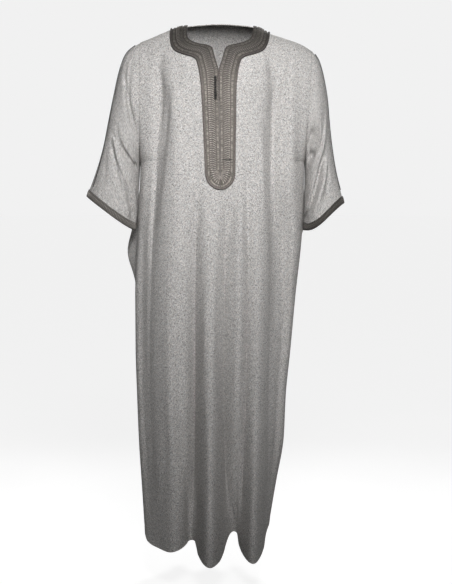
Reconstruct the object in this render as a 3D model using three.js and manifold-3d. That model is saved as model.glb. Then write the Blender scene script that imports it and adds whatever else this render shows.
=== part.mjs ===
// A short-sleeved djellaba, standing open as it does when it is worn, with nobody in it.
// Millimetres, +Z up, the front faces -Y. The origin lies between the two points where the
// neckline crosses the shoulder ridge, which is where the wearer's shoulders carry the garment.
// "Right" and "left" are the wearer's, so the right sleeve is on the -X side.
import * as THREE from "three";
import { mergeVertices } from "three/addons/utils/BufferGeometryUtils.js";
import Module from "manifold-3d";

const wasm = await Module();
wasm.setup();

// Driving dimensions
const LENGTH = 1345; // shoulder to hem, down the front
const WALL = 2; // cloth
const SEAM_GAP = 0.4; // between neighbouring panels
const REST_GAP = 0.3; // under what is sewn on top of a panel
const BRAID = 2.2; // thickness of the braided bands
const SHOULDER_ROUND = { front: 190, back: 170 }; // drop over which the shoulder turns down
const SHOULDER_FADE = 420; // drop over which rows lose the slope of the shoulder
const ARMHOLE_DROP = 340; // shoulder ridge to the bottom of the armhole
const SLIT = { width: 3, bottom: -196 }; // neck slit, held shut by the knots
const CUFF_BRAID = 18; // width of the braid on the cuffs
const CORD_RADIUS = 1.4;
const KNOT = { radius: 2.9, pitch: 6.4, count: 9, top: -141, aside: 8 };
const HEM_SHAPING = { from: 850, to: LENGTH }; // drop over which the hem's waves set in
// A body section is a rounded oblong: full in front at the chest, squarer down the skirt.
const SECTION = { reach: 0.92, chest: 1.7, skirt: 0.72, chestDrop: 120, skirtDrop: 380, armholePull: 1.8 };
// How finely the panels are divided
const PANEL_MESH = {
  front: { columns: 54, shoulderRows: 7, chestRows: 3, skirtRows: 19 },
  back: { columns: 38, shoulderRows: 6, chestRows: 3, skirtRows: 14 },
};
const SLEEVE_MESH = { columns: 28, rows: 9, cuffRows: 2 };

// Turns rows of numbers into objects with named columns.
const table = (names, ...rows) =>
  rows.map((row) => Object.fromEntries(names.split(" ").map((name, i) => [name, row[i]])));

// How much of the shoulder's slope is left in a row at this drop.
const slopeAt = (drop) => Math.max(1 - drop / SHOULDER_FADE, 0) ** 1.6;
// The armhole is an upright oval: its top and bottom in the front view and its half depth.
const armhole = (topX, topZ, bottomX, depth) =>
  ({ topX, topZ, bottomX, bottomZ: topZ * slopeAt(ARMHOLE_DROP) - ARMHOLE_DROP, depth });
const ARMHOLE = { right: armhole(-205, -41, -205, 64), left: armhole(237, -64, 216, 64) };
// Height of the shoulder ridge across the garment.
const RIDGE = table("x z", [-205, -41], [-174, -29], [-141, -15], [-128, -10], [-85, 0], [0, 6],
  [86, -1], [127, -19], [159, -29], [207, -46], [237, -64]);
// The body's sections: its sides, and how far front and back stand from the side seam's plane.
const BODY = table("z right left front back",
  [0, -205, 222, 125, 105],
  [-330, -205, 217, 128, 112],
  [-517, -213, 212, 132, 116],
  [-694, -221, 195, 130, 118],
  [-822, -221, 184, 128, 120],
  [-955, -218, 172, 126, 122],
  [-1086, -214, 167, 124, 124],
  [-1218, -207, 149, 124, 126],
  [-LENGTH, -200, 130, 124, 128]);
// The hem's height across the front: it rises between the folds that reach forward.
const HEM_LINE = table("x z", [-200, -1312], [-190, -1326], [-165, -1333], [-135, -1335],
  [-100, -1328], [-64, -1315], [-57, -1342], [-42, -1355], [-22, -1358], [-2, -1354], [9, -1340],
  [17, -1318], [26, -1304], [35, -1300], [43, -1303], [48, -1332], [57, -1348], [72, -1355],
  [88, -1357], [104, -1354], [114, -1344], [119, -1316], [125, -1300], [133, -1290]);
// Folds run down a panel: where each lies and how far it stands out (or in, below zero) at three
// or four heights, and how wide it is on either side of its crest.
const fold = (right, left, ...path) => ({ right, left, path: table("z x out", ...path) });
const FRONT_FOLDS = [
  fold(16, 18, [-60, -140, 0], [-250, -149, -14], [-500, -169, -16], [-900, -181, -18], [-LENGTH, -160, -12]),
  fold(34, 30, [-60, -118, 0], [-250, -112, 8], [-600, -118, 14], [-LENGTH, -130, 22]),
  fold(20, 10, [-420, -49, 0], [-600, -50, -12], [-900, -55, -22], [-LENGTH, -67, -42]),
  fold(18, 20, [-400, -25, 0], [-600, -25, 10], [-900, -25, 26], [-LENGTH, -26, 56]),
  fold(12, 12, [-380, 16, 0], [-600, 18, -8], [-900, 12, -18], [-LENGTH, 28, -34]),
  fold(12, 12, [-380, 52, 0], [-600, 50, 9], [-900, 44, 12], [-LENGTH, 40, -20]),
  fold(10, 10, [-380, 72, 0], [-600, 70, -8], [-900, 66, -12], [-LENGTH, 50, -12]),
  fold(17, 18, [-380, 94, 0], [-600, 94, 9], [-900, 92, 20], [-LENGTH, 86, 56]),
  fold(14, 14, [-60, 124, 0], [-250, 128, -14], [-600, 128, -22], [-900, 126, -26], [-LENGTH, 121, -26]),
];
const BACK_FOLDS = [
  fold(22, 26, [-80, -128, 0], [-300, -132, -10], [-800, -146, -20], [-LENGTH, -150, -30]),
  fold(22, 18, [-300, -84, 0], [-700, -94, 12], [-LENGTH, -106, 40]),
  fold(16, 22, [-260, -40, 0], [-700, -46, -10], [-LENGTH, -58, -34]),
  fold(18, 24, [-240, 6, 0], [-700, -4, 10], [-LENGTH, -20, 22]),
  fold(15, 13, [-260, 48, 0], [-700, 36, -12], [-LENGTH, 16, -36]),
  fold(18, 20, [-300, 92, 0], [-700, 76, 12], [-LENGTH, 50, 38]),
  fold(18, 16, [-80, 132, 0], [-300, 134, -10], [-800, 118, -18], [-LENGTH, 88, -32]),
];
// The back billows out behind the right side seam, below the sleeve.
const HIP_BILLOW = { z: -576, height: 46, y: 46, width: 40, out: 30, seamed: 34 };
// The middle of the neckline and of the long tongue of braid, which hangs a little aslant.
const CENTRE_LINE = table("z x", [0, 1], [-60, -2.3], [-127, -3], [-250, -1], [-416, 1.2]);
// The neckline, from the shoulder ridge to the foot of its V, and the outer edge of the braid
// round it, from the ridge to the tongue's round end: how far each is from the centre line.
const NECKLINE = {
  front: table("out z", [84.5, -4], [83, -20], [80, -36], [72, -46], [52, -55], [25, -61], [16, -67.7],
    [8.3, -97], [0.5, -127.5]),
  back: table("out z", [84.5, -2], [82, -7], [70, -12], [40, -17], [0, -19]),
};
const BRAID_EDGE = {
  front: table("out z", [126, -16], [125, -34], [122, -52], [109, -72], [96, -80.5], [70, -86.5],
    [56, -98], [49, -122], [43.5, -165], [41, -246], [38, -345], [37.4, -373]),
  tongueEnd: { z: -375, width: 37.4, height: 41 },
  back: table("out z", [126, -18], [118, -34], [95, -47], [50, -54], [0, -56]),
};
// Sleeve sections past the armhole, to the cuff: where each crosses the top of the arm and the
// underarm, its half depth, its middle and how far its front edge droops.
const SLEEVE = {
  right: table("along topX topZ bottomX bottomZ depth y droop",
    [0.1, -239, -69, -206.4, -353, 64, 0, 0],
    [0.2, -256, -111, -207.2, -365, 62, -2, 0],
    [0.35, -271, -175, -208.2, -388, 60, -6, 0],
    [0.5, -285, -240, -209.4, -412, 60, -10, 0],
    [0.65, -298, -300, -211, -440, 61, -14, 0],
    [0.8, -315, -360, -213, -472, 63, -18, 0],
    [1, -341, -432, -219.5, -519, 66, -22, 2]),
  left: table("along topX topZ bottomX bottomZ depth y droop",
    [0.1, 252, -88, 217.6, -356, 64, 0, 0],
    [0.2, 264, -130, 218, -369, 62, -2, 0],
    [0.35, 274, -190, 217.6, -396, 60, -6, 0],
    [0.5, 279, -250, 216.8, -425, 60, -10, 3],
    [0.65, 286, -310, 216.2, -450, 61, -14, 6],
    [0.8, 296, -370, 215.6, -482, 63, -18, 9],
    [1, 317, -449, 215, -519, 66, -22, 14]),
};
// Folds of a sleeve, as for a panel but placed by how far along the sleeve and how far round from
// the top of the arm they lie, in radians towards the front.
const sleeveFold = (width, ...path) => ({ width, path: table("along turn out", ...path) });
const SLEEVE_FOLDS = {
  right: [
    sleeveFold(0.17, [0.03, 2.25, -7], [0.12, 1.55, -8], [0.17, 0.56, 0]),
    sleeveFold(0.2, [0.33, 2.64, -11], [0.48, 1.54, -8], [0.52, 1.0, 0]),
    sleeveFold(0.17, [0.5, 1.0, 0], [0.63, 1.66, 8], [0.85, 2.3, 6]),
    sleeveFold(0.17, [0.56, 0.8, 0], [0.67, 1.95, -9], [0.84, 2.7, -12]),
    sleeveFold(0.24, [0.1, 4.6, 0], [0.3, 4.2, -9], [0.6, 3.7, -9]),
    sleeveFold(0.24, [0.4, 5.2, 0], [0.65, 4.6, -8], [0.9, 4.1, -10]),
  ],
  left: [
    sleeveFold(0.2, [0.05, 1.6, 0], [0.25, 1.3, 6], [0.38, 1.4, 8], [0.44, 1.7, 0]),
    sleeveFold(0.16, [0.08, 2.15, -9], [0.2, 1.85, -7], [0.3, 1.61, 0]),
    sleeveFold(0.17, [0.24, 2.34, -10], [0.33, 2.05, -8], [0.42, 1.75, 0]),
    sleeveFold(0.2, [0.36, 0.8, 0], [0.5, 1.15, 8], [0.6, 1.5, 0]),
    sleeveFold(0.2, [0.52, 1.2, 0], [0.67, 1.8, -11], [0.83, 2.9, -12]),
    sleeveFold(0.2, [0.62, 1.0, 0], [0.76, 1.5, 8], [0.9, 2.0, 5]),
    sleeveFold(0.24, [0.1, 4.7, 0], [0.35, 4.2, -9], [0.65, 3.7, -9]),
    sleeveFold(0.24, [0.4, 5.1, 0], [0.65, 4.6, -7], [0.9, 4.1, -10]),
  ],
};
// The overarm seam, covered by a cord, drifts forward on its way to the cuff.
const OVERARM = { right: { shoulder: 0.05, cuff: 0.6 }, left: { shoulder: 0.05, cuff: 0.25 } };
const SIDES = { right: -1, left: 1 };

// Smooth curve through one column of a table that never overshoots its rows.
function through(rows, key, column) {
  const sorted = [...rows].sort((a, b) => a[key] - b[key]);
  const x = sorted.map((row) => row[key]);
  const y = sorted.map((row) => row[column]);
  const rise = x.slice(1).map((v, i) => (y[i + 1] - y[i]) / (v - x[i]));
  const slope = x.map((_, i) => {
    if (i === 0) return rise[0];
    if (i === rise.length) return rise[i - 1];
    const [a, b] = [rise[i - 1], rise[i]];
    return a * b <= 0 ? 0 : (2 * a * b) / (a + b);
  });
  return (at) => {
    const v = THREE.MathUtils.clamp(at, x[0], x[x.length - 1]);
    let i = 0;
    while (i < rise.length - 1 && v > x[i + 1]) i++;
    const w = x[i + 1] - x[i];
    const t = (v - x[i]) / w;
    return (1 + 2 * t) * (1 - t) ** 2 * y[i] + t * (1 - t) ** 2 * w * slope[i]
      + t * t * (3 - 2 * t) * y[i + 1] + t * t * (t - 1) * w * slope[i + 1];
  };
}
const { clamp, lerp, smoothstep } = THREE.MathUtils;

const ridgeZ = through(RIDGE, "x", "z");
const hemZ = through(HEM_LINE, "x", "z");
const bodyX = { right: through(BODY, "z", "right"), left: through(BODY, "z", "left") };
const bodyDepth = { front: through(BODY, "z", "front"), back: through(BODY, "z", "back") };
const curvesOf = (folds) => folds.map(({ right, left, path }) =>
  ({ right, left, x: through(path, "z", "x"), out: through(path, "z", "out") }));
const FOLDS = { front: curvesOf(FRONT_FOLDS), back: curvesOf(BACK_FOLDS) };

// Where a row of the body panel ends: on the armhole, and below it on the side seam.
function panelEdge(side, z, toFace) {
  const hole = ARMHOLE[side];
  const middle = (hole.topZ + hole.bottomZ) / 2;
  const up = clamp((z - middle) / (hole.topZ - middle), -1, 1);
  const x = lerp(hole.bottomX, hole.topX, (up + 1) / 2);
  const belowHole = smoothstep(hole.bottomZ - z, 0, 60);
  return {
    x: z < hole.bottomZ ? lerp(x, bodyX[side](z), belowHole) : x,
    y: toFace * hole.depth * Math.sqrt(1 - up * up),
  };
}

// A point of the front (toFace -1) or back (toFace 1): across runs from -1 to 1, drop is
// measured down from the shoulder ridge.
function panelPoint(face, across, drop) {
  const toFace = face === "front" ? -1 : 1;
  const slope = slopeAt(drop);
  const ends = Object.fromEntries(Object.keys(SIDES).map((side) =>
    [side, panelEdge(side, ARMHOLE[side].topZ * slope - drop, toFace)]));
  const turn = (across * Math.PI) / 2;
  const reach = Math.abs(Math.sin(turn)) ** SECTION.reach;
  const middle = (ends.right.x + ends.left.x) / 2;
  const near = across < 0 ? ends.right : ends.left;
  const x = lerp(middle, near.x, reach);
  const ridgeMiddle = (ARMHOLE.right.topX + ARMHOLE.left.topX) / 2;
  const ridgeEnd = ARMHOLE[across < 0 ? "right" : "left"].topX;
  const z = ridgeZ(lerp(ridgeMiddle, ridgeEnd, reach)) * slope - drop;
  const downSkirt = smoothstep(drop, SECTION.chestDrop, SECTION.skirtDrop);
  const bulge = Math.max(Math.cos(turn), 0) ** lerp(SECTION.chest, SECTION.skirt, downSkirt);
  const turned = Math.sqrt(1 - (1 - clamp(drop / SHOULDER_ROUND[face], 0, 1)) ** 2);
  const depth = toFace * bodyDepth[face](z) * turned;
  let y = depth * bulge + near.y * (1 - bulge) ** SECTION.armholePull;
  const bodied = clamp(bulge * 1.6, 0, 1);
  for (const f of FOLDS[face]) {
    const away = x - f.x(z);
    y += toFace * f.out(z) * bodied * Math.exp(-0.5 * (away / (away < 0 ? f.right : f.left)) ** 2);
  }
  const shaping = smoothstep(drop, HEM_SHAPING.from, HEM_SHAPING.to);
  const sideHem = across < 0 ? HEM_LINE[0] : HEM_LINE[HEM_LINE.length - 1];
  const lift = face === "front" ? hemZ(x) + LENGTH : (sideHem.z + LENGTH) * (1 - bulge);
  const point = new THREE.Vector3(x, y + (toFace * SEAM_GAP) / 2, z + lift * shaping);
  if (face === "back" && across < 0) {
    const here = Math.exp(-0.5 * ((z - HIP_BILLOW.z) / HIP_BILLOW.height) ** 2
      - 0.5 * ((y - HIP_BILLOW.y) / HIP_BILLOW.width) ** 2);
    point.x -= HIP_BILLOW.out * here * smoothstep(y, 0, HIP_BILLOW.seamed);
  }
  return point;
}

const FOLD_FADE = { armhole: 0.12, ends: 0.05 }; // share of the sleeve over which folds die away

// A point of a sleeve: turn runs from the top of the arm round the front, along to the cuff.
const sleeveCurves = Object.fromEntries(Object.entries(SLEEVE).map(([side, rows]) => {
  const sections = [{ along: 0, y: 0, droop: 0, ...ARMHOLE[side] }, ...rows];
  const columns = Object.keys(rows[0]).slice(1);
  return [side, Object.fromEntries(columns.map((c) => [c, through(sections, "along", c)]))];
}));
const sleeveFolds = Object.fromEntries(Object.entries(SLEEVE_FOLDS).map(([side, folds]) => [side,
  folds.map(({ width, path }) => ({
    width,
    from: path[0].along,
    to: path[path.length - 1].along,
    turn: through(path, "along", "turn"),
    out: through(path, "along", "out"),
  }))]));
function sleevePoint(side, turn, along) {
  const c = sleeveCurves[side];
  const [up, forward] = [Math.cos(turn), Math.sin(turn)];
  const rooted = smoothstep(along, 0, FOLD_FADE.armhole);
  let bulge = 1;
  for (const f of sleeveFolds[side]) {
    const apart = Math.abs(turn - f.turn(along));
    const around = Math.min(apart, 2 * Math.PI - apart) / f.width;
    const beyond = Math.max(f.from - along, along - f.to, 0) / FOLD_FADE.ends;
    bulge += (f.out(along) * rooted * Math.exp(-0.5 * (around ** 2 + beyond ** 2))) / c.depth(along);
  }
  const share = (up * bulge + 1) / 2;
  return new THREE.Vector3(
    lerp(c.bottomX(along), c.topX(along), share) + SIDES[side] * SEAM_GAP,
    c.y(along) - forward * bulge * c.depth(along),
    lerp(c.bottomZ(along), c.topZ(along), share)
      - c.droop(along) * Math.max(forward, 0) ** 2 * (0.5 - up),
  );
}

// Unit normals of a grid of points; outward is 1 where columns cross rows the right way round.
function gridNormals(grid, closed, outward) {
  const [rows, columns] = [grid.length, grid[0].length];
  const column = (j) => (closed ? (j + columns) % columns : clamp(j, 0, columns - 1));
  const at = (i, j) => grid[clamp(i, 0, rows - 1)][column(j)];
  return grid.map((row, i) => row.map((_, j) => {
    const down = at(i + 1, j).clone().sub(at(i - 1, j));
    const over = at(i, j + 1).clone().sub(at(i, j - 1));
    return over.cross(down).multiplyScalar(outward).normalize();
  }));
}
const moved = (grid, by) => grid.points.map((row, i) =>
  row.map((p, j) => p.clone().addScaledVector(grid.normals[i][j], by)));

// The closed solid that a grid of points sweeps between two distances along its normals.
function layer(grid, from, to) {
  const { points, closed, outward } = grid;
  const [rows, columns] = [points.length, points[0].length];
  const skins = [...moved(grid, to).flat(), ...moved(grid, from).flat()];
  const positions = skins.flatMap((p) => [p.x, p.y, p.z]);
  const at = (skin, i, j) => (skin * rows + i) * columns + (j % columns);
  const index = [];
  const quad = (a, b, c, d) => index.push(...(outward < 0 ? [a, c, b, a, d, c] : [a, b, c, a, c, d]));
  const spans = closed ? columns : columns - 1;
  for (let i = 0; i < rows - 1; i++) {
    for (let j = 0; j < spans; j++) {
      quad(at(0, i, j), at(0, i, j + 1), at(0, i + 1, j + 1), at(0, i + 1, j));
      quad(at(1, i, j), at(1, i + 1, j), at(1, i + 1, j + 1), at(1, i, j + 1));
    }
  }
  for (let j = 0; j < spans; j++) {
    quad(at(0, 0, j), at(1, 0, j), at(1, 0, j + 1), at(0, 0, j + 1));
    quad(at(0, rows - 1, j), at(0, rows - 1, j + 1), at(1, rows - 1, j + 1), at(1, rows - 1, j));
  }
  if (!closed) {
    const last = columns - 1;
    for (let i = 0; i < rows - 1; i++) {
      quad(at(0, i, 0), at(0, i + 1, 0), at(1, i + 1, 0), at(1, i, 0));
      quad(at(0, i, last), at(1, i, last), at(1, i + 1, last), at(0, i + 1, last));
    }
  }
  const geometry = new THREE.BufferGeometry();
  geometry.setAttribute("position", new THREE.Float32BufferAttribute(positions, 3));
  geometry.setIndex(index);
  return geometry;
}

// The direction in the armhole's own plane that leads out of the oval at one of its points.
function outOfArmhole(side, z, toFace) {
  const hole = ARMHOLE[side];
  const half = (hole.topZ - hole.bottomZ) / 2;
  const up = clamp((z - hole.bottomZ) / half - 1, -1, 1);
  return new THREE.Vector3(0, (toFace * Math.sqrt(1 - up * up)) / hole.depth, up / half).normalize();
}

// Values of across that divide the hem of a panel into equal lengths of cloth.
function columnsOf(face, count) {
  const dense = 600;
  const stations = Array.from({ length: dense + 1 }, (_, k) => (2 * k) / dense - 1);
  const hem = stations.map((across) => panelPoint(face, across, LENGTH).setZ(0));
  const lengths = hem.map(() => 0);
  for (let k = 1; k <= dense; k++) lengths[k] = lengths[k - 1] + hem[k].distanceTo(hem[k - 1]);
  return Array.from({ length: count + 1 }, (_, j) => {
    const target = (lengths[dense] * j) / count;
    const k = Math.max(1, lengths.findIndex((length) => length >= target - 1e-6));
    return lerp(stations[k - 1], stations[k], (target - lengths[k - 1]) / (lengths[k] - lengths[k - 1]));
  });
}

// A body panel's grid. Its edges get the normals that their neighbours have across the seam.
function panelGrid(face, { columns, shoulderRows, chestRows, skirtRows }) {
  const toFace = face === "front" ? -1 : 1;
  const round = SHOULDER_ROUND[face];
  const steps = (count, dropAt) => Array.from({ length: count }, (_, i) => dropAt(i / count));
  const drops = [
    ...steps(shoulderRows, (t) => round * (1 - Math.cos((t * Math.PI) / 2))),
    ...steps(chestRows, (t) => lerp(round, ARMHOLE_DROP, t)),
    ...steps(skirtRows, (t) => lerp(ARMHOLE_DROP, LENGTH, t)),
    LENGTH,
  ];
  const stations = columnsOf(face, columns);
  const points = drops.map((drop) => stations.map((across) => panelPoint(face, across, drop)));
  const normals = gridNormals(points, false, toFace);
  normals[0].forEach((normal) => normal.setY(0).normalize());
  for (const [side, sign] of Object.entries(SIDES)) {
    const j = sign < 0 ? 0 : columns;
    points.forEach((row, i) => {
      const [onArmhole, normal] = [row[j].z >= ARMHOLE[side].bottomZ, normals[i][j]];
      normals[i][j] = onArmhole ? outOfArmhole(side, row[j].z, toFace) : normal.setY(0).normalize();
    });
  }
  return { points, normals, closed: false, outward: toFace };
}

const NEAR_CUFF = 0.96; // where the cloth's length per share of the sleeve is taken

// A sleeve's grid. Its last rows keep one distance from the cuff, for the braid that lies on them.
function sleeveGrid(side, { columns, rows, cuffRows }) {
  const turns = Array.from({ length: columns }, (_, j) => (2 * Math.PI * j) / columns);
  const cuffShare = turns.map((turn) => {
    const [a, b] = [sleevePoint(side, turn, NEAR_CUFF), sleevePoint(side, turn, 1)];
    return ((1 - NEAR_CUFF) * CUFF_BRAID) / a.distanceTo(b);
  });
  const alongs = [];
  for (let i = 0; i < rows; i++) alongs.push((j) => (i / rows) * (1 - cuffShare[j]));
  for (let i = 0; i <= cuffRows; i++) alongs.push((j) => 1 - cuffShare[j] * (1 - i / cuffRows));
  const points = alongs.map((along) => turns.map((turn, j) => sleevePoint(side, turn, along(j))));
  const outward = SIDES[side];
  const normals = gridNormals(points, true, outward);
  points[0].forEach((p, j) => {
    normals[0][j] = outOfArmhole(side, p.z, turns[j] < Math.PI ? -1 : 1);
  });
  return { points, normals, closed: true, outward };
}

// The cord on the overarm seam, from just past the armhole to the braid on the cuff.
function overarmCord(side, { points, normals }) {
  const clear = 1; // bends between rows bring the cord nearer than this
  const columns = points[0].length;
  const lastRow = SLEEVE_MESH.rows;
  const route = [];
  for (let i = 0; i <= lastRow; i++) {
    const row = clamp(i, 0.25, lastRow - 0.05);
    const turn = lerp(OVERARM[side].shoulder, OVERARM[side].cuff, row / lastRow);
    const column = (turn / (2 * Math.PI)) * columns;
    const [i0, j0] = [Math.min(Math.floor(row), lastRow - 1), Math.floor(column)];
    const between = (grid) =>
      [i0, i0 + 1].map((r) => grid[r][j0].clone().lerp(grid[r][j0 + 1], column - j0));
    const [above, below] = between(points);
    const [normalAbove, normalBelow] = between(normals);
    const outward = normalAbove.lerp(normalBelow, row - i0).normalize();
    route.push(above.lerp(below, row - i0).addScaledVector(outward, CORD_RADIUS + clear));
  }
  const section = new THREE.Shape().absarc(0, 0, CORD_RADIUS, 0, 2 * Math.PI, false);
  return new THREE.ExtrudeGeometry(section, {
    steps: 2 * lastRow,
    curveSegments: 4,
    extrudePath: new THREE.CatmullRomCurve3(route, false, "centripetal"),
  });
}

function solidOf(geometry) {
  const bare = geometry.clone();
  bare.deleteAttribute("normal");
  bare.deleteAttribute("uv");
  const merged = mergeVertices(bare, 1e-4);
  return new wasm.Manifold(new wasm.Mesh({
    numProp: 3,
    vertProperties: merged.attributes.position.array,
    triVerts: new Uint32Array(merged.index.array),
  }));
}
function geometryOf(solid) {
  const mesh = solid.getMesh();
  const geometry = new THREE.BufferGeometry();
  geometry.setAttribute("position", new THREE.BufferAttribute(mesh.vertProperties, 3));
  geometry.setIndex(new THREE.BufferAttribute(mesh.triVerts, 1));
  return geometry;
}

// A block with the given outline in the front view, from the shoulder plane out past one face.
function block(shape, face) {
  const reach = 400;
  const geometry = new THREE.ExtrudeGeometry(shape, { depth: reach, bevelEnabled: false, curveSegments: 10 });
  geometry.rotateX(Math.PI / 2);
  if (face === "back") geometry.translate(0, reach, 0);
  return solidOf(geometry);
}
const centreX = through(CENTRE_LINE, "z", "x");
const ABOVE = 60; // height over the shoulders at which outlines close
const besideCentre = (sign, gap) => ({ out, z }) =>
  new THREE.Vector2(centreX(z) + sign * Math.max(out, gap), z);

// The outline of the neck opening, with the slit below its V.
function neckOutline(face) {
  const side = (sign) => NECKLINE[face].map(besideCentre(sign, face === "front" ? SLIT.width / 2 : 0));
  const [right, left] = [side(-1), side(1).reverse()];
  const shape = new THREE.Shape();
  shape.moveTo(right[0].x, ABOVE);
  right.forEach((p) => shape.lineTo(p.x, p.y));
  if (face === "front") {
    const x = centreX(SLIT.bottom);
    shape.lineTo(x - SLIT.width / 2, SLIT.bottom);
    shape.lineTo(x + SLIT.width / 2, SLIT.bottom);
  }
  left.forEach((p) => shape.lineTo(p.x, p.y));
  shape.lineTo(left[left.length - 1].x, ABOVE);
  return shape;
}

// The outline of one half of the braid round the front of the neck, tongue and all.
function frontBraidOutline(sign) {
  const gap = REST_GAP / 2;
  const inner = NECKLINE.front.map(besideCentre(sign, gap));
  const outer = BRAID_EDGE.front.map(besideCentre(sign, gap));
  const { z, width, height } = BRAID_EDGE.tongueEnd;
  const shape = new THREE.Shape();
  shape.moveTo(inner[0].x, ABOVE);
  inner.forEach((p) => shape.lineTo(p.x, p.y));
  shape.lineTo(centreX(z - height) + sign * gap, z - height);
  const middle = centreX(z);
  for (let k = 1; k <= 7; k++) {
    const turn = (k / 8) * (Math.PI / 2);
    shape.lineTo(middle + sign * Math.max(width * Math.sin(turn), gap), z - height * Math.cos(turn));
  }
  outer.reverse().forEach((p) => shape.lineTo(p.x, p.y));
  shape.lineTo(outer[outer.length - 1].x, ABOVE);
  return shape;
}

// The outline of the braid round the back of the neck, from shoulder to shoulder.
function backBraidOutline() {
  const edge = (rows, sign) => rows.map(besideCentre(sign, 0));
  const outer = [...edge(BRAID_EDGE.back, -1), ...edge(BRAID_EDGE.back, 1).reverse().slice(1)];
  const inner = [...edge(NECKLINE.back, 1), ...edge(NECKLINE.back, -1).reverse().slice(1)];
  const shape = new THREE.Shape();
  shape.moveTo(outer[0].x, ABOVE);
  outer.forEach((p) => shape.lineTo(p.x, p.y));
  shape.lineTo(outer[outer.length - 1].x, ABOVE);
  shape.lineTo(inner[0].x, ABOVE);
  inner.forEach((p) => shape.lineTo(p.x, p.y));
  shape.lineTo(inner[inner.length - 1].x, ABOVE);
  return shape;
}

// The across and drop at which a panel passes through a place in the front view.
function locate(face, x, z) {
  let [across, drop] = [x / 250, -z];
  for (let step = 0; step < 60; step++) {
    const p = panelPoint(face, across, drop);
    across = clamp(across + (x - p.x) / 400, -1, 1);
    drop = Math.max(0, drop + p.z - z);
  }
  return { across, drop };
}
function normalAt(face, { across, drop }) {
  const step = 0.004;
  const over = panelPoint(face, across + step, drop).sub(panelPoint(face, across - step, drop));
  const down = panelPoint(face, across, drop + 1).sub(panelPoint(face, across, drop - 1));
  return over.cross(down).multiplyScalar(face === "front" ? -1 : 1).normalize();
}

const textile = (name, color, roughness) =>
  new THREE.MeshStandardMaterial({ name, color, roughness, metalness: 0 });
const CLOTH = textile("melange_cloth", 0xb9b6b3, 0.92);
const BRAIDWORK = textile("braid", 0x6f6a64, 0.7);
const CORDING = textile("cord", 0x3f3b37, 0.7);

const garment = new THREE.Group();
function add(name, geometry, material) {
  geometry.computeVertexNormals();
  const mesh = new THREE.Mesh(geometry, material);
  mesh.name = name;
  garment.add(mesh);
}

// Body panels, with the neck cut out of them
const grids = {
  front: panelGrid("front", PANEL_MESH.front),
  back: panelGrid("back", PANEL_MESH.back),
};
for (const [face, grid] of Object.entries(grids)) {
  const cut = solidOf(layer(grid, -WALL, 0)).subtract(block(neckOutline(face), face));
  add(face, geometryOf(cut), CLOTH);
}

// Braid round the neck and down the chest, on the panels
const braidLayer = (face) => solidOf(layer(grids[face], REST_GAP, REST_GAP + BRAID));
for (const [side, sign] of Object.entries(SIDES)) {
  const braid = braidLayer("front").intersect(block(frontBraidOutline(sign), "front"));
  add(`neck_band_${side}`, geometryOf(braid), BRAIDWORK);
}
const backBraid = braidLayer("back").intersect(block(backBraidOutline(), "back"));
add("neck_band_back", geometryOf(backBraid), BRAIDWORK);

// Sleeves, the braid on their cuffs and the cord along their overarm seams
for (const side of Object.keys(SIDES)) {
  const grid = sleeveGrid(side, SLEEVE_MESH);
  add(`sleeve_${side}`, layer(grid, -WALL, 0), CLOTH);
  const cuff = {
    ...grid,
    points: grid.points.slice(-SLEEVE_MESH.cuffRows - 1),
    normals: grid.normals.slice(-SLEEVE_MESH.cuffRows - 1),
  };
  add(`cuff_band_${side}`, layer(cuff, REST_GAP, REST_GAP + BRAID), BRAIDWORK);
  add(`sleeve_cord_${side}`, overarmCord(side, grid), CORDING);
}

// Knots that close the slit, down the right half of the braid
for (let i = 0; i < KNOT.count; i++) {
  const z = KNOT.top - i * KNOT.pitch;
  const place = locate("front", centreX(z) - KNOT.aside, z);
  const stand = REST_GAP + BRAID + REST_GAP + KNOT.radius;
  const under = panelPoint("front", place.across, place.drop);
  const centre = under.addScaledVector(normalAt("front", place), stand);
  const knot = new THREE.SphereGeometry(KNOT.radius, 8, 6);
  knot.translate(centre.x, centre.y, centre.z);
  add(`knot_${i + 1}`, knot, CORDING);
}

export default garment;
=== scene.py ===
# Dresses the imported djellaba: fine cloth walls with their creases, braid, cords, knots and
# stitches in place of the plain solids, and the camera, floor and lights around them.
import math
import bpy
import numpy as np
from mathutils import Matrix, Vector


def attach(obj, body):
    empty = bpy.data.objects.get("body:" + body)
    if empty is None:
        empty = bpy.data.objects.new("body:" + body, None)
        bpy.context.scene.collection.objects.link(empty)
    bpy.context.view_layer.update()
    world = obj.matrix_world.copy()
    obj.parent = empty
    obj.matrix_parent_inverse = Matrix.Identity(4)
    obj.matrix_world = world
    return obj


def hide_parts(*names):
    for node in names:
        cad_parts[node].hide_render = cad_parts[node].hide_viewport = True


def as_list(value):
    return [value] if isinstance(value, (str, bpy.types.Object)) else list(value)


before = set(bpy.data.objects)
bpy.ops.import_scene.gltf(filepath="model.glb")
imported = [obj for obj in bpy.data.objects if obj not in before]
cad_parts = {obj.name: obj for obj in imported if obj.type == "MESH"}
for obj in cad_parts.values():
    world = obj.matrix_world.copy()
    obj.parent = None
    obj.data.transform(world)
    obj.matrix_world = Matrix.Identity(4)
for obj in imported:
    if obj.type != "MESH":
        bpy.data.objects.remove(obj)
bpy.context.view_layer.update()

MM = 0.001  # the garment is worked out in millimetres, as it was cut, and built in metres
WHOLE_TURN = 2 * math.pi


def add_object(name, data):
    made = bpy.data.objects.new(name, data)
    bpy.context.scene.collection.objects.link(made)
    return made


# Camera at the photograph's viewing angle
PHOTO_HEIGHT = 584
CAMERA = {"place": (0.015, -2.8, -0.44), "down": 4.919, "focal_px": 1076.92, "sensor": 36.0}


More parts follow.
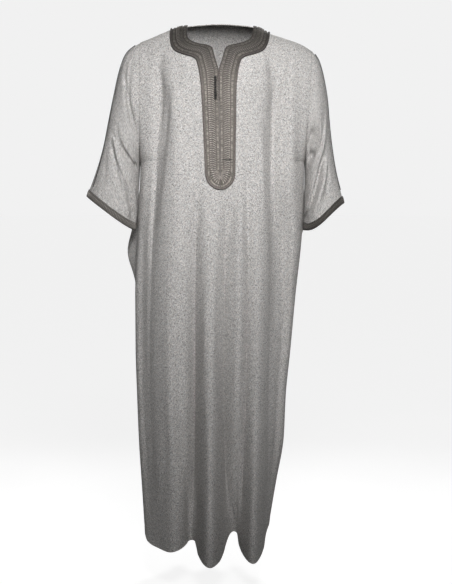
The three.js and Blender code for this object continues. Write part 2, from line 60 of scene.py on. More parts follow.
def make_camera():
    data = bpy.data.cameras.new("camera")
    data.sensor_width = CAMERA["sensor"]
    data.lens = CAMERA["sensor"] * CAMERA["focal_px"] / PHOTO_HEIGHT
    camera = add_object("camera", data)
    camera.location = CAMERA["place"]
    camera.rotation_euler = (math.radians(90 - CAMERA["down"]), 0, 0)
    bpy.context.scene.camera = camera


make_camera()

# Sizes of the garment, the same as in the part's source but for the seams, which are all but shut
LENGTH = 1345  # shoulder to hem, down the front
WALL = 2.0  # cloth
SEAM_GAP = 0.08
REST_GAP = 0.3
BRAID = 2.2
SHOULDER_ROUND = {"front": 190, "back": 170}
SHOULDER_FADE = 420
ARMHOLE_DROP = 340
SLIT = {"width": 3, "bottom": -196}
CUFF_BRAID = 18
KNOT = {"radius": 2.9, "pitch": 6.4, "count": 9, "top": -141, "aside": 8, "barrel": 1.7, "low": 0.72}
HEM_SHAPING = (850, LENGTH)
SECTION = {"reach": 0.92, "chest": 1.7, "skirt": 0.72, "chestDrop": 120, "skirtDrop": 380, "armholePull": 1.8}
SIDES = {"right": -1, "left": 1}
TO_FACE = {"front": -1, "back": 1}


def through(x, y):
    """Smooth curve through the values y at x that never overshoots them."""
    order = np.argsort(x, kind="stable")
    x, y = np.asarray(x, float)[order], np.asarray(y, float)[order]
    rise = np.diff(y) / np.diff(x)
    before, after = rise[:-1], rise[1:]
    both = before + after
    level = np.where(before * after <= 0, 0, 2 * before * after / np.where(both == 0, 1, both))
    slope = np.concatenate([[rise[0]], level, [rise[-1]]])

    def curve(at):
        v = np.clip(at, x[0], x[-1])
        i = np.clip(np.searchsorted(x, v, side="right") - 1, 0, len(rise) - 1)
        w = x[i + 1] - x[i]
        t = (v - x[i]) / w
        return ((1 + 2 * t) * (1 - t) ** 2 * y[i] + t * (1 - t) ** 2 * w * slope[i]
                + t * t * (3 - 2 * t) * y[i + 1] + t * t * (t - 1) * w * slope[i + 1])

    return curve


def curves(names, *rows):
    """A smooth curve for each further column of a table, by its first column."""
    columns = dict(zip(names.split(), np.transpose(rows)))
    at, *others = columns
    return {name: through(columns[at], columns[name]) for name in others}


def smoothstep(value, low, high):
    t = np.clip((value - low) / (high - low), 0, 1)
    return t * t * (3 - 2 * t)


def lerp(a, b, t):
    return a + (b - a) * t


def bell(away, width):
    return np.exp(-0.5 * (away / width) ** 2)


def peak(away, width):
    return np.exp(-((away / width) ** 2))


def unit(v):
    return v / np.maximum(np.linalg.norm(v, axis=-1, keepdims=True), 1e-9)


def distances(points, axis):
    """Length of cloth from the first row or column of a grid of points."""
    steps = np.linalg.norm(np.diff(points, axis=axis), axis=-1)
    start = np.zeros_like(np.take(steps, [0], axis=axis))
    return np.concatenate([start, np.cumsum(steps, axis=axis)], axis=axis)


def slope_at(drop):
    return np.maximum(1 - drop / SHOULDER_FADE, 0) ** 1.6


def armhole(top_x, top_z, bottom_x, depth):
    bottom_z = top_z * slope_at(ARMHOLE_DROP) - ARMHOLE_DROP
    return {"topX": top_x, "topZ": top_z, "bottomX": bottom_x, "bottomZ": bottom_z, "depth": depth}


ARMHOLE = {"right": armhole(-205, -41, -205, 64), "left": armhole(237, -64, 216, 64)}
ridge_z = curves("x z", (-205, -41), (-174, -29), (-141, -15), (-128, -10), (-85, 0), (0, 6),
    (86, -1), (127, -19), (159, -29), (207, -46), (237, -64))["z"]
BODY = curves("z right left front back",
    (0, -205, 222, 125, 105),
    (-330, -205, 217, 128, 112),
    (-517, -213, 212, 132, 116),
    (-694, -221, 195, 130, 118),
    (-822, -221, 184, 128, 120),
    (-955, -218, 172, 126, 122),
    (-1086, -214, 167, 124, 124),
    (-1218, -207, 149, 124, 126),
    (-LENGTH, -200, 130, 124, 128))
hem_z = curves("x z", (-200, -1312), (-190, -1326), (-165, -1333), (-135, -1335), (-100, -1328),
    (-64, -1315), (-57, -1342), (-42, -1355), (-22, -1358), (-2, -1354), (9, -1340),
    (17, -1318), (26, -1304), (35, -1300), (43, -1303), (48, -1332), (57, -1348),
    (72, -1355), (88, -1357), (104, -1354), (114, -1344), (119, -1316), (125, -1300),
    (133, -1290))["z"]


def folds(*rows):
    """Folds of a panel: width on either side, and a path of height, place and how far it stands out."""
    return [{"right": right, "left": left, **curves("z x out", *path)} for right, left, *path in rows]


FOLDS = {"front": folds(
    (16, 18, (-60, -140, 0), (-250, -149, -14), (-500, -169, -16), (-900, -181, -18), (-LENGTH, -160, -12)),
    (34, 30, (-60, -118, 0), (-250, -112, 8), (-600, -118, 14), (-LENGTH, -130, 22)),
    (15, 13, (-420, -58, 0), (-600, -61, -21), (-900, -64, -37), (-1165, -67, -40), (-LENGTH, -74, -42)),
    (18, 20, (-400, -25, 0), (-600, -25, 10), (-900, -25, 26), (-LENGTH, -26, 56)),
    (13, 13, (-380, 13, 0), (-600, 12, -18), (-900, 9, -32), (-1165, 14, -38), (-LENGTH, 26, -38)),
    (12, 12, (-380, 52, 0), (-600, 50, 9), (-900, 44, 12), (-LENGTH, 40, -20)),
    (10, 10, (-380, 72, 0), (-600, 70, -12), (-900, 66, -19), (-LENGTH, 50, -18)),
    (17, 18, (-380, 94, 0), (-600, 94, 9), (-900, 92, 20), (-LENGTH, 86, 56)),
    (14, 14, (-60, 124, 0), (-250, 128, -17), (-600, 127, -15), (-900, 125, -17), (-LENGTH, 121, -28)),
    (9, 24, (-60, 134, 0), (-200, 134, -14), (-400, 136, -17), (-650, 138, -13), (-950, 132, -7),
     (-1200, 128, 0)),
    (13, 13, (-70, 184, 0), (-200, 184, 6), (-400, 183, 8), (-560, 180, 5), (-720, 178, 0)),
    (24, 9, (-60, -150, 0), (-180, -150, -9), (-320, -158, -9), (-500, -168, -5), (-700, -176, 0)),
), "back": folds(
    (22, 26, (-80, -128, 0), (-300, -132, -10), (-800, -146, -20), (-LENGTH, -150, -30)),
    (22, 18, (-300, -84, 0), (-700, -94, 12), (-LENGTH, -106, 40)),
    (16, 22, (-260, -40, 0), (-700, -46, -10), (-LENGTH, -58, -34)),
    (18, 24, (-240, 6, 0), (-700, -4, 10), (-LENGTH, -20, 22)),
    (15, 13, (-260, 48, 0), (-700, 36, -12), (-LENGTH, 16, -36)),
    (18, 20, (-300, 92, 0), (-700, 76, 12), (-LENGTH, 50, 38)),
    (18, 16, (-80, 132, 0), (-300, 134, -10), (-800, 118, -18), (-LENGTH, 88, -32)),
)}
# Beyond the outermost folds the front falls back towards the side seams.
SIDE_FALLS = [
    curves("z x width depth", (-400, 160, 17, 0), (-545, 160, 17, 29), (-748, 159, 18, 31),
           (-955, 151, 13, 24), (-1165, 143, 12, 16), (-1300, 140, 11, 6), (-LENGTH, 140, 10, 0)),
    curves("z x width depth", (-420, -197, 9, 0), (-545, -197, 9, 13), (-748, -204, 13, 20),
           (-955, -200, 10, 18), (-1165, -190, 11, 18), (-1300, -186, 11, 8), (-LENGTH, -186, 11, 0)),
]
HIP_BILLOW = {"z": -576, "height": 46, "y": 46, "width": 40, "out": 30, "seamed": 34}
ARM_BILLOW = {"z": -472, "height": 60, "y": 80, "width": 26, "out": 60}  # behind both sleeves


def creases(*rows):
    """Creases finer than the folds: width, and a path of places with how far it stands out there (or in,
    below zero), which is nothing where it isn't given."""
    return [{"width": width, "path": [(*place, 0)[:3] for place in path]} for width, *path in rows]


CREASES = {"front": creases(
    (9, (-160, -80), (-157, -122, -5), (-151, -165, -7), (-149, -209, -4), (-147, -250)),
    (7, (-136, -150), (-131, -200, -4), (-138, -274, -7), (-146, -343, -6), (-156, -442, -4),
     (-166, -560)),
    (12, (-108, -120), (-112, -200, 3), (-106, -300, 4), (-114, -420)),
    (8, (-60, -270), (-57, -344, -3), (-57, -442, -6), (-60, -560, -3), (-62, -680)),
    (9, (38, -412), (30, -466, -6), (20, -540, -5), (13, -660)),
    (8, (69, -236), (69, -343, -4), (67, -442, -6), (70, -541, -4), (70, -680)),
    (8, (118, -96), (127, -122, -5), (146, -150, -7), (140, -188, -6), (124, -225)),
    (8, (121, -200), (119, -300, -4), (120, -400, -4), (122, -541)),
    (5, (176, -84), (172, -110, -4), (169, -144, -6), (165, -203, -6), (164, -292, -4), (157, -430)),
    (9, (148, -230), (150, -300, 3), (147, -420, 4), (146, -560)),
    (7, (86, -240), (92, -330, -3), (96, -440, -2), (97, -520)),
    (7, (201, -230), (198, -317, -3), (199, -400)),
    (4.5, (130, -190), (132, -330, -3), (134, -520, -3.4), (131, -760, -2.6), (128, -900)),
    (4.5, (143, -150), (145, -300, -3.2), (146, -480, -3.6), (143, -700, -2.6), (140, -860)),
    (4.5, (157, -230), (158, -380, -3), (156, -560, -3), (150, -740)),
    (4.5, (-166, -110), (-161, -200, -3.2), (-160, -330, -3), (-165, -480, -2), (-168, -600)),
    (4.5, (-147, -100), (-149, -180, -3), (-150, -270, -2.4), (-152, -360)),
    (5, (-188, -66), (-183, -90, -3), (-180, -130)),
    (6, (-142, -62), (-147, -82, -3), (-154, -110)),
    (7, (-98, -92), (-104, -118, -3), (-110, -150)),
    (6, (104, -98), (97, -126, -3), (91, -170)),
    (10, (-130, -640), (-128, -791, 3), (-126, -944, 4), (-117, -1123, 4), (-112, -1290)),
    (7, (-108, -700), (-106, -842, -3), (-104, -1000, -4), (-96, -1180)),
    (8, (-88, -620), (-88, -760, 3), (-86, -930, 3), (-84, -1060)),
    (8, (-198, -600), (-200, -760, -3), (-196, -960)),
    (7, (178, -640), (172, -799, -3), (164, -940)),
    (8, (-146, -930), (-140, -1072, -3), (-146, -1201, -4), (-150, -1300)),
    (5, (6, -520), (-2, -640, -2), (-4, -800, -3), (0, -960)),
    (5, (-36, -640), (-38, -780, 2), (-40, -940)),
    (6, (90, -560), (88, -700, -2), (84, -860, -3), (82, -1020)),
    (7, (148, -1010), (140, -1120, -4), (132, -1240)),
    (6, (-76, -430), (-82, -520, -3), (-80, -640)),
    (6, (-178, -330), (-182, -420, -4), (-190, -540)),
    (5, (-90, -1080), (-84, -1180, -3), (-78, -1290, -5), (-76, -1345, -6)),
), "back": creases(
    (10, (-40, -70), (-46, -150, -4), (-44, -260, -5), (-52, -380)),
    (8, (36, -80), (44, -170, -4), (42, -300, -5), (46, -420)),
    (12, (-6, -110), (-4, -220, 4), (-2, -340)),
    (7, (-96, -90), (-108, -160, -5), (-104, -260, -6), (-112, -400, -4), (-118, -560)),
    (7, (104, -100), (116, -180, -5), (112, -300, -6), (118, -460)),
    (6, (-166, -90), (-160, -170, -5), (-166, -280, -4), (-172, -380)),
    (6, (182, -110), (172, -190, -5), (176, -300, -4), (172, -420)),
    (9, (-72, -420), (-78, -560, -4), (-82, -760, -5), (-92, -980)),
    (8, (-20, -460), (-24, -640, 4), (-34, -860, 4), (-40, -1040)),
    (7, (22, -440), (20, -600, -4), (8, -820, -4), (4, -1010)),
    (9, (66, -430), (60, -620, 4), (48, -860, 3), (40, -1000)),
    (7, (110, -520), (102, -700, -4), (92, -900, -4), (84, -1100)),
    (8, (150, -560), (140, -740, 3), (126, -940)),
    (8, (-150, -620), (-160, -800, 4), (-168, -1000)),
    (6, (-186, -700), (-190, -900, -4), (-184, -1120)),
    (6, (-126, -900), (-128, -1080, -4), (-126, -1290, -6), (-126, -1345, -6)),
    (7, (-2, -980), (-8, -1120, 3), (-4, -1290)),
    (6, (70, -1000), (66, -1150, -4), (68, -1330, -6)),
    (7, (-84, -1020), (-82, -1180, 3), (-84, -1300)),
)}
centre_x = curves("z x", (0, 1), (-60, -2.3), (-127, -3), (-250, -1), (-416, 1.2))["x"]
NECKLINE = {
    "front": ((84.5, -4), (83, -20), (80, -36), (72, -46), (52, -55), (25, -61), (16, -67.7),
                   (8.3, -97), (0.5, -127.5)),
    "back": ((84.5, -2), (82, -7), (70, -12), (40, -17), (0, -19)),
}
# Where the braid's two edges lie, from the shoulder ridge to the round end of the tongue in
# front and to the middle of the back: inner edge from the centre line, its height, and the outer.
BRAID_ROUTE = {
    "front": ((84.5, 0, 126, -9.4), (84.3, -6, 126, -18), (83, -20, 125, -34), (80, -36, 121, -54),
              (72, -46, 109, -72), (52, -55, 86, -83), (30, -60, 67, -89), (18, -66, 56, -98),
              (12.5, -82, 52, -110), (8.3, -97, 49, -122), (0.5, -127.5, 46, -143),
              (0.15, -165, 43.5, -165), (0.15, -246, 41, -246), (0.15, -345, 38, -345),
              (0.15, -370, 37.4, -373)),
    "back": ((84.5, 0, 126, -9.4), (83.4, -4, 124, -24), (79, -9, 113, -38), (66, -13, 90, -48),
             (40, -17, 50, -54), (0, -19, 0, -56)),
}
TONGUE_END = {"z": -375, "width": 37.4, "height": 41, "pivot": -384}


def sleeve(side, *rows):
    """The sleeve's shape along the arm, from the armhole."""
    start = (0, *ARMHOLE[side].values(), 0, 0)
    return curves("along topX topZ bottomX bottomZ depth y droop", start, *rows)


SLEEVE = {
    "right": sleeve("right",
        (0.1, -239, -69, -206.4, -353, 64, 0, 0),
        (0.2, -256, -111, -207.2, -365, 62, -2, 0),
        (0.35, -271, -175, -208.2, -388, 60, -6, 0),
        (0.5, -285, -240, -209.4, -412, 60, -10, 0),
        (0.65, -298, -300, -211, -440, 61, -14, 0),
        (0.8, -315, -360, -213, -472, 63, -18, 0),
        (1, -341, -432, -219.5, -519, 66, -22, 2)),
    "left": sleeve("left",
        (0.1, 252, -88, 217.6, -356, 64, 0, 0),
        (0.2, 264, -130, 218, -369, 62, -2, 0),
        (0.35, 274, -190, 217.6, -396, 60, -6, 0),
        (0.5, 279, -250, 216.8, -425, 60, -10, 3),
        (0.65, 286, -310, 216.2, -450, 61, -14, 6),
        (0.8, 296, -370, 215.6, -482, 63, -18, 9),
        (1, 317, -449, 215, -519, 66, -22, 14)),
}


def sleeve_folds(*rows):
    return [{"width": width, "from": path[0][0], "to": path[-1][0], **curves("along turn out", *path)}
            for width, *path in rows]


SLEEVE_FOLDS = {"right": sleeve_folds(
    (0.17, (0.03, 2.25, -7), (0.12, 1.55, -8), (0.17, 0.56, 0)),
    (0.2, (0.33, 2.64, -11), (0.48, 1.54, -8), (0.52, 1.0, 0)),
    (0.17, (0.5, 1.0, 0), (0.63, 1.66, 8), (0.85, 2.3, 6)),
    (0.17, (0.56, 0.8, 0), (0.67, 1.95, -9), (0.84, 2.7, -12)),
    (0.24, (0.1, 4.6, 0), (0.3, 4.2, -9), (0.6, 3.7, -9)),
    (0.24, (0.4, 5.2, 0), (0.65, 4.6, -8), (0.9, 4.1, -10)),
), "left": sleeve_folds(
    (0.2, (0.05, 1.6, 0), (0.25, 1.3, 6), (0.38, 1.4, 8), (0.44, 1.7, 0)),
    (0.16, (0.08, 2.15, -9), (0.2, 1.85, -7), (0.3, 1.61, 0)),
    (0.17, (0.24, 2.34, -10), (0.33, 2.05, -8), (0.42, 1.75, 0)),
    (0.2, (0.36, 0.8, 0), (0.5, 1.15, 8), (0.6, 1.5, 0)),
    (0.2, (0.52, 1.2, 0), (0.67, 1.8, -11), (0.83, 2.9, -12)),
    (0.2, (0.62, 1.0, 0), (0.76, 1.5, 8), (0.9, 2.0, 5)),
    (0.24, (0.1, 4.7, 0), (0.35, 4.2, -9), (0.65, 3.7, -9)),
    (0.24, (0.4, 5.1, 0), (0.65, 4.6, -7), (0.9, 4.1, -10)),
)}
FOLD_FADE = {"armhole": 0.12, "ends": 0.05}
# The sleeves' own creases, on the cloth laid flat: millimetres round the arm from its top
# towards the front, millimetres along it, and how far out
SLEEVE_LENGTH = 225
SLEEVE_ROUND = 90  # millimetres of cloth to a radian of turn
SLEEVE_CREASES = {"right": creases(
    (5, (40, 12), (62, 26, -4), (92, 34, -5), (130, 44, -4), (164, 40)),
    (4, (52, 4), (80, 16, -4), (116, 26, -5), (150, 34)),
    (6, (86, 96), (118, 104, -5), (150, 104, -6), (196, 88)),
    (6, (70, 118), (104, 136, -5), (150, 158, -6), (196, 178, -6), (232, 190)),
    (7, (60, 150), (84, 170, -3), (96, 196)),
    (7, (300, 30), (340, 60, -5), (372, 96)),
    (6, (390, 60), (410, 110, -5), (400, 160, -4), (380, 200)),
    (7, (450, 30), (470, 80, -4), (480, 140)),
    (7, (240, 120), (270, 150, -5), (310, 160)),
), "left": creases(
    (5, (132, 40), (118, 62, 4), (124, 84, 5), (152, 96)),
    (4, (196, 22), (172, 34, -5), (148, 52)),
    (5, (214, 58), (190, 70, -6), (160, 86)),
    (6, (106, 120), (146, 138, -6), (196, 158, -7), (240, 170)),
    (6, (100, 150), (134, 168, 4), (176, 186, 5), (210, 200)),
    (6, (70, 140), (100, 170, -4), (128, 200)),
    (7, (300, 30), (340, 60, -5), (372, 100)),
    (6, (390, 70), (408, 116, -5), (398, 170)),
    (7, (460, 40), (474, 90, -4), (470, 150)),
)}
OVERARM = {"right": (0.05, 0.6), "left": (0.05, 0.25)}  # the seam's turn at the shoulder and the cuff
# Hanging cloth is round on its ridges and drawn in to a sharp line along its valleys.
CUSP = {"depth": 1.2, "soft": 0.012, "width": 1.1, "fade": (-1290, -1120)}


# The surface of a body panel
def up_armhole(side, z):
    """Half the height of an armhole, and how far up it z is, from -1 to 1."""
    hole = ARMHOLE[side]
    half = (hole["topZ"] - hole["bottomZ"]) / 2
    return half, np.clip((z - hole["bottomZ"]) / half - 1, -1, 1)


def panel_edge(side, z, to_face):
    hole = ARMHOLE[side]
    up = up_armhole(side, z)[1]
    x = lerp(hole["bottomX"], hole["topX"], (up + 1) / 2)
    x = lerp(x, BODY[side](z), smoothstep(hole["bottomZ"] - z, 0, 60))
    return x, to_face * hole["depth"] * np.sqrt(1 - up * up)


def swell(billow, y, z):
    return billow["out"] * bell(z - billow["z"], billow["height"]) * bell(y - billow["y"], billow["width"])


def panel_point(face, across, drop):
    """Points of a panel: across runs from -1 to 1, drop is measured down from the shoulder ridge."""
    across, drop = np.broadcast_arrays(np.asarray(across, float), np.asarray(drop, float))
    to_face = TO_FACE[face]
    slope = slope_at(drop)
    right, left = (panel_edge(s, ARMHOLE[s]["topZ"] * slope - drop, to_face) for s in SIDES)
    turn = across * math.pi / 2
    reach = np.abs(np.sin(turn)) ** SECTION["reach"]
    on_right = across < 0
    near_x, near_y = (np.where(on_right, r, l) for r, l in zip(right, left))
    x = lerp((right[0] + left[0]) / 2, near_x, reach)
    tops = [ARMHOLE[s]["topX"] for s in SIDES]
    z = ridge_z(lerp(sum(tops) / 2, np.where(on_right, *tops), reach)) * slope - drop
    down_skirt = smoothstep(drop, SECTION["chestDrop"], SECTION["skirtDrop"])
    bulge = np.maximum(np.cos(turn), 0) ** lerp(SECTION["chest"], SECTION["skirt"], down_skirt)
    turned = np.sqrt(1 - (1 - np.clip(drop / SHOULDER_ROUND[face], 0, 1)) ** 2)
    y = to_face * BODY[face](z) * turned * bulge + near_y * (1 - bulge) ** SECTION["armholePull"]
    bodied = np.clip(bulge * 1.6, 0, 1)
    for f in FOLDS[face]:
        away = x - f["x"](z)
        ratio = (away / np.where(away < 0, f["right"], f["left"])) ** 2
        out = f["out"](z)
        sharp = CUSP["depth"] * np.exp(-np.sqrt(ratio + CUSP["soft"]) / CUSP["width"])
        drawn = smoothstep(z, *CUSP["fade"]) * (out < 0)
        y = y + to_face * out * bodied * lerp(np.exp(-0.5 * ratio), sharp, drawn)
    if face == "front":
        for fall in SIDE_FALLS:
            y = y + fall["depth"](z) * bell(x - fall["x"](z), fall["width"](z)) * bodied
        lift = hem_z(x) + LENGTH
    else:
        lift = (hem_z(np.where(on_right, -LENGTH, LENGTH)) + LENGTH) * (1 - bulge)
    point = np.stack([x, y + to_face * SEAM_GAP / 2, z + lift * smoothstep(drop, *HEM_SHAPING)], -1)
    if face == "back":
        hip = swell(HIP_BILLOW, y, z) * smoothstep(y, 0, HIP_BILLOW["seamed"])
        point[..., 0] += swell(ARM_BILLOW, y, z) * np.sign(across) * (1 - bulge) ** 0.5 - hip * on_right
    return point


def panel_normal(face, across, drop, step=0.004):
    over = panel_point(face, across + step, drop) - panel_point(face, across - step, drop)
    down = panel_point(face, across, drop + 1) - panel_point(face, across, np.maximum(drop - 1, 0))
    return unit(np.cross(over, down) * TO_FACE[face])


def read_along(points, length, at):
    """Smooth curve through points that lie at these lengths, read at others."""
    return np.stack([through(length, column)(at) for column in np.transpose(points)], -1)


def smooth_path(points, count):
    """Evenly spaced points on a smooth curve through the given ones."""
    points = np.asarray(points, float)
    length = distances(points[:, :2], 0)
    return read_along(points, length, np.linspace(0, length[-1], count))


BESIDE_CREASE = {"width": 2.3, "share": 0.3}  # a trough pushes up softly on either side


def crease_height(creases, a, b):
    """How far the creases move the cloth out at places a, b of their own plane."""
    total = np.zeros(np.broadcast(a, b).shape)
    for c in creases:
        path = smooth_path(c["path"], 22)
        nearest = np.full(total.shape, np.inf)
        out = np.zeros(total.shape)
        for (a0, b0, o0), (a1, b1, o1) in zip(path[:-1], path[1:]):
            run_a, run_b = a1 - a0, b1 - b0
            t = np.clip(((a - a0) * run_a + (b - b0) * run_b) / (run_a**2 + run_b**2 + 1e-9), 0, 1)
            away = (a - a0 - t * run_a) ** 2 + (b - b0 - t * run_b) ** 2
            closer = away < nearest
            nearest = np.where(closer, away, nearest)
            out = np.where(closer, lerp(o0, o1, t), out)
        away = np.sqrt(nearest)
        beside = BESIDE_CREASE["share"] * bell(away, c["width"] * BESIDE_CREASE["width"])
        total += out * (bell(away, c["width"]) - beside)
    return total


# The cloth lies flat under the braid and is held straight at the seams.
FLAT_UNDER = {"inside": 40, "below": 30, "fade": 14}


def panel_relief(face, point, across):
    x, z = point[..., 0], point[..., 2]
    relief = crease_height(CREASES[face], x, z) * smoothstep(1 - np.abs(across), 0, 0.1)
    if face == "front":
        beside = np.abs(x - centre_x(z)) - FLAT_UNDER["inside"]
        below = TONGUE_END["z"] - FLAT_UNDER["below"] - z
        relief = relief * smoothstep(np.maximum(beside, below), 0, FLAT_UNDER["fade"])
    return relief


def panel_surface(face, across, drop, lift=0.0):
    """Points of the creased panel, moved out by lift."""
    base = panel_point(face, across, drop)
    move = panel_relief(face, base, across) + lift
    return base + panel_normal(face, across, drop) * move[..., None]


# The surface of a sleeve
def sleeve_point(side, turn, along):
    """Points of a sleeve: turn runs from the top of the arm round the front, along to the cuff."""
    turn, along = np.broadcast_arrays(np.asarray(turn, float), np.asarray(along, float))
    c = {name: curve(along) for name, curve in SLEEVE[side].items()}
    up, forward = np.cos(turn), np.sin(turn)
    rooted = smoothstep(along, 0, FOLD_FADE["armhole"])
    bulge = np.ones_like(turn)
    for f in SLEEVE_FOLDS[side]:
        apart = np.abs(turn % WHOLE_TURN - f["turn"](along))
        around = bell(np.minimum(apart, WHOLE_TURN - apart), f["width"])
        beyond = bell(np.maximum(np.maximum(f["from"] - along, along - f["to"]), 0), FOLD_FADE["ends"])
        bulge = bulge + f["out"](along) * rooted * around * beyond / c["depth"]
    share = (up * bulge + 1) / 2
    return np.stack([
        lerp(c["bottomX"], c["topX"], share) + SIDES[side] * SEAM_GAP,
        c["y"] - forward * bulge * c["depth"],
        lerp(c["bottomZ"], c["topZ"], share) - c["droop"] * np.maximum(forward, 0) ** 2 * (0.5 - up),
    ], -1)


def sleeve_normal(side, turn, along, step=0.01):
    over = sleeve_point(side, turn + step, along) - sleeve_point(side, turn - step, along)
    ends = [sleeve_point(side, turn, np.clip(along + move, 0, 1)) for move in (-step, step)]
    return unit(np.cross(over, ends[1] - ends[0]) * SIDES[side])


def sleeve_surface(side, turn, along, lift=0.0):
    turn, along = np.broadcast_arrays(np.asarray(turn, float), np.asarray(along, float))
    b = along * SLEEVE_LENGTH
    height = sum(crease_height(SLEEVE_CREASES[side], a * SLEEVE_ROUND, b)
                 for a in (turn % WHOLE_TURN, turn % WHOLE_TURN + WHOLE_TURN))
    ends = smoothstep(along, 0, 0.06) * smoothstep(1 - along, CUFF_BRAID / SLEEVE_LENGTH, 0.16)
    move = (height * ends + lift)[..., None]
    return sleeve_point(side, turn, along) + sleeve_normal(side, turn, along) * move


# Mesh building
def make_object(name, vertices, faces, uv, material, caps=None):
    """A mesh from vertices in millimetres, faces as rows of corners and a place in metres of cloth
    for each corner. caps are more faces, which may have another number of corners."""
    groups = [np.asarray(group, np.int32) for group in (faces, caps) if group is not None]
    sizes = np.concatenate([np.full(len(group), group.shape[1], np.int32) for group in groups])
    corners = np.concatenate([group.ravel() for group in groups])
    places = np.zeros((len(corners), 2), np.float32)
    places[:len(uv)] = np.asarray(uv, np.float32) * MM
    mesh = bpy.data.meshes.new(name)
    mesh.vertices.add(len(vertices))
    mesh.vertices.foreach_set("co", (np.asarray(vertices, np.float32) * MM).ravel())
    mesh.loops.add(len(corners))
    mesh.loops.foreach_set("vertex_index", corners)
    mesh.polygons.add(len(sizes))
    mesh.polygons.foreach_set("loop_start", np.cumsum(sizes, dtype=np.int32) - sizes)
    mesh.polygons.foreach_set("use_smooth", np.ones(len(sizes), bool))
    mesh.uv_layers.new(name="cloth").data.foreach_set("uv", places.ravel())
    mesh.update(calc_edges=True)
    mesh.validate()
    mesh.materials.append(material)
    return add_object(name, mesh)


def wall(name, outer, inner, uv, material, closed=False, flip=False):
    """A closed thin wall between two grids of points. uv has one column more where it is a tube."""
    rows, columns = outer.shape[:2]
    vertices = np.concatenate([outer.reshape(-1, 3), inner.reshape(-1, 3)])
    faces, places = [], []

    def add(*corners):
        faces.append(np.stack([((skin * rows + i) * columns + j % columns).ravel()
                               for skin, i, j in corners], -1))
        places.append(np.stack([uv[i, j].reshape(-1, 2) for _, i, j in corners], 1))

    down, over = np.arange(rows - 1), np.arange(columns if closed else columns - 1)
    i, j = np.meshgrid(down, over, indexing="ij")
    add((0, i, j), (0, i, j + 1), (0, i + 1, j + 1), (0, i + 1, j))
    add((1, i, j), (1, i + 1, j), (1, i + 1, j + 1), (1, i, j + 1))
    top, bottom = 0 * over, 0 * over + rows - 1
    add((0, top, over), (1, top, over), (1, top, over + 1), (0, top, over + 1))
    add((0, bottom, over), (0, bottom, over + 1), (1, bottom, over + 1), (1, bottom, over))
    if not closed:
        first, last = 0 * down, 0 * down + columns - 1
        add((0, down, first), (0, down + 1, first), (1, down + 1, first), (1, down, first))
        add((0, down, last), (1, down, last), (1, down + 1, last), (0, down + 1, last))
    faces, places = np.concatenate(faces), np.concatenate(places)
    if flip:
        faces, places = faces[:, ::-1], places[:, ::-1]
    return make_object(name, vertices, faces, places.reshape(-1, 2), material)


def tubes(name, paths, radius, material, sides=6, flat=1.0, normals=(0.0, -1.0, 0.02)):
    """Round or flattened threads along many paths at once. paths is (threads, points, 3), and
    flat squeezes them towards the cloth, whose normals are then given."""
    threads, points = paths.shape[:2]
    along = unit(np.gradient(paths, axis=1))
    normals = np.broadcast_to(normals, paths.shape)
    up = unit(normals - along * np.sum(normals * along, -1, keepdims=True))
    over = np.cross(along, up)
    turn = np.arange(sides) * WHOLE_TURN / sides
    ring = over[:, :, None] * np.cos(turn)[:, None] + up[:, :, None] * (flat * np.sin(turn))[:, None]
    vertices = paths[:, :, None] + ring * radius
    t, i, j = np.meshgrid(np.arange(threads), np.arange(points - 1), np.arange(sides), indexing="ij")
    quad = ((0, 0), (0, 1), (1, 1), (1, 0))
    faces = np.stack([(t * points + i + a) * sides + (j + b) % sides for a, b in quad], -1)
    length = distances(paths, 1)
    around = WHOLE_TURN * radius / sides
    uv = np.stack([np.stack([(j + b) * around, length[t, i + a]], -1) for a, b in quad], -2)
    ends, ring = np.arange(threads)[:, None] * points * sides, np.arange(sides)
    caps = np.concatenate([ends + ring[::-1], ends + (points - 1) * sides + ring])
    return make_object(name, vertices.reshape(-1, 3), faces.reshape(-1, 4), uv.reshape(-1, 2), material, caps)


# Materials
class Nodes:
    """Short ways to add and join the nodes of one material."""

    def __init__(self, tree):
        self.tree = tree

    def join(self, source, socket):
        if isinstance(source, bpy.types.NodeSocket):
            self.tree.links.new(source, socket)
        else:
            socket.default_value = source

    def add(self, kind, inputs=None, **settings):
        node = self.tree.nodes.new("ShaderNode" + kind)
        for key, value in settings.items():
            setattr(node, key, value)
        for key, source in (inputs or {}).items():
            self.join(source, node.inputs[key])
        return node

    def math(self, operation, a, b=0.0):
        return self.add("Math", {0: a, 1: b}, operation=operation).outputs[0]

    def weighted(self, *pairs):
        """Sum of values, each times its weight."""
        parts = [self.math("MULTIPLY", value, weight) for value, weight in pairs]
        total = parts.pop()
        while parts:
            total = self.math("ADD", parts.pop(), total)
        return total

    def wave(self, turns):
        return self.math("SINE", self.math("MULTIPLY", turns, WHOLE_TURN))

    def place(self):
        split = self.add("SeparateXYZ", {0: self.add("UVMap", uv_map="cloth").outputs[0]})
        return split.outputs[0], split.outputs[1]

    def noise(self, x, y, z, detail=1.0):
        place = self.add("CombineXYZ", {0: x, 1: y, 2: z}).outputs[0]
        return self.add("TexNoise", {"Vector": place, "Scale": 1.0, "Detail": detail}).outputs["Fac"]

    def grains(self, place, sizes, z, detail=1.0):
        """Noise whose grains have these two sizes on the cloth, in metres."""
        return self.noise(*(self.math("DIVIDE", p, size) for p, size in zip(place, sizes)), z, detail)

    def ramp(self, value, *stops):
        ramp = self.add("ValToRGB", {0: value})
        ends = ramp.color_ramp.elements
        ends[0].position, ends[0].color = stops[0]
        ends[1].position, ends[1].color = stops[-1]
        for position, color in stops[1:-1]:
            ends.new(position).color = color
        return ramp.outputs[0]

    def multiplied(self, color, factor):
        mix = self.add("Mix", {0: 1.0, 6: color, 7: factor}, data_type="RGBA", blend_type="MULTIPLY")
        return mix.outputs[2]

    def bump(self, height, distance, strength):
        return self.add("Bump", {"Strength": strength, "Distance": distance, "Height": height}).outputs[0]


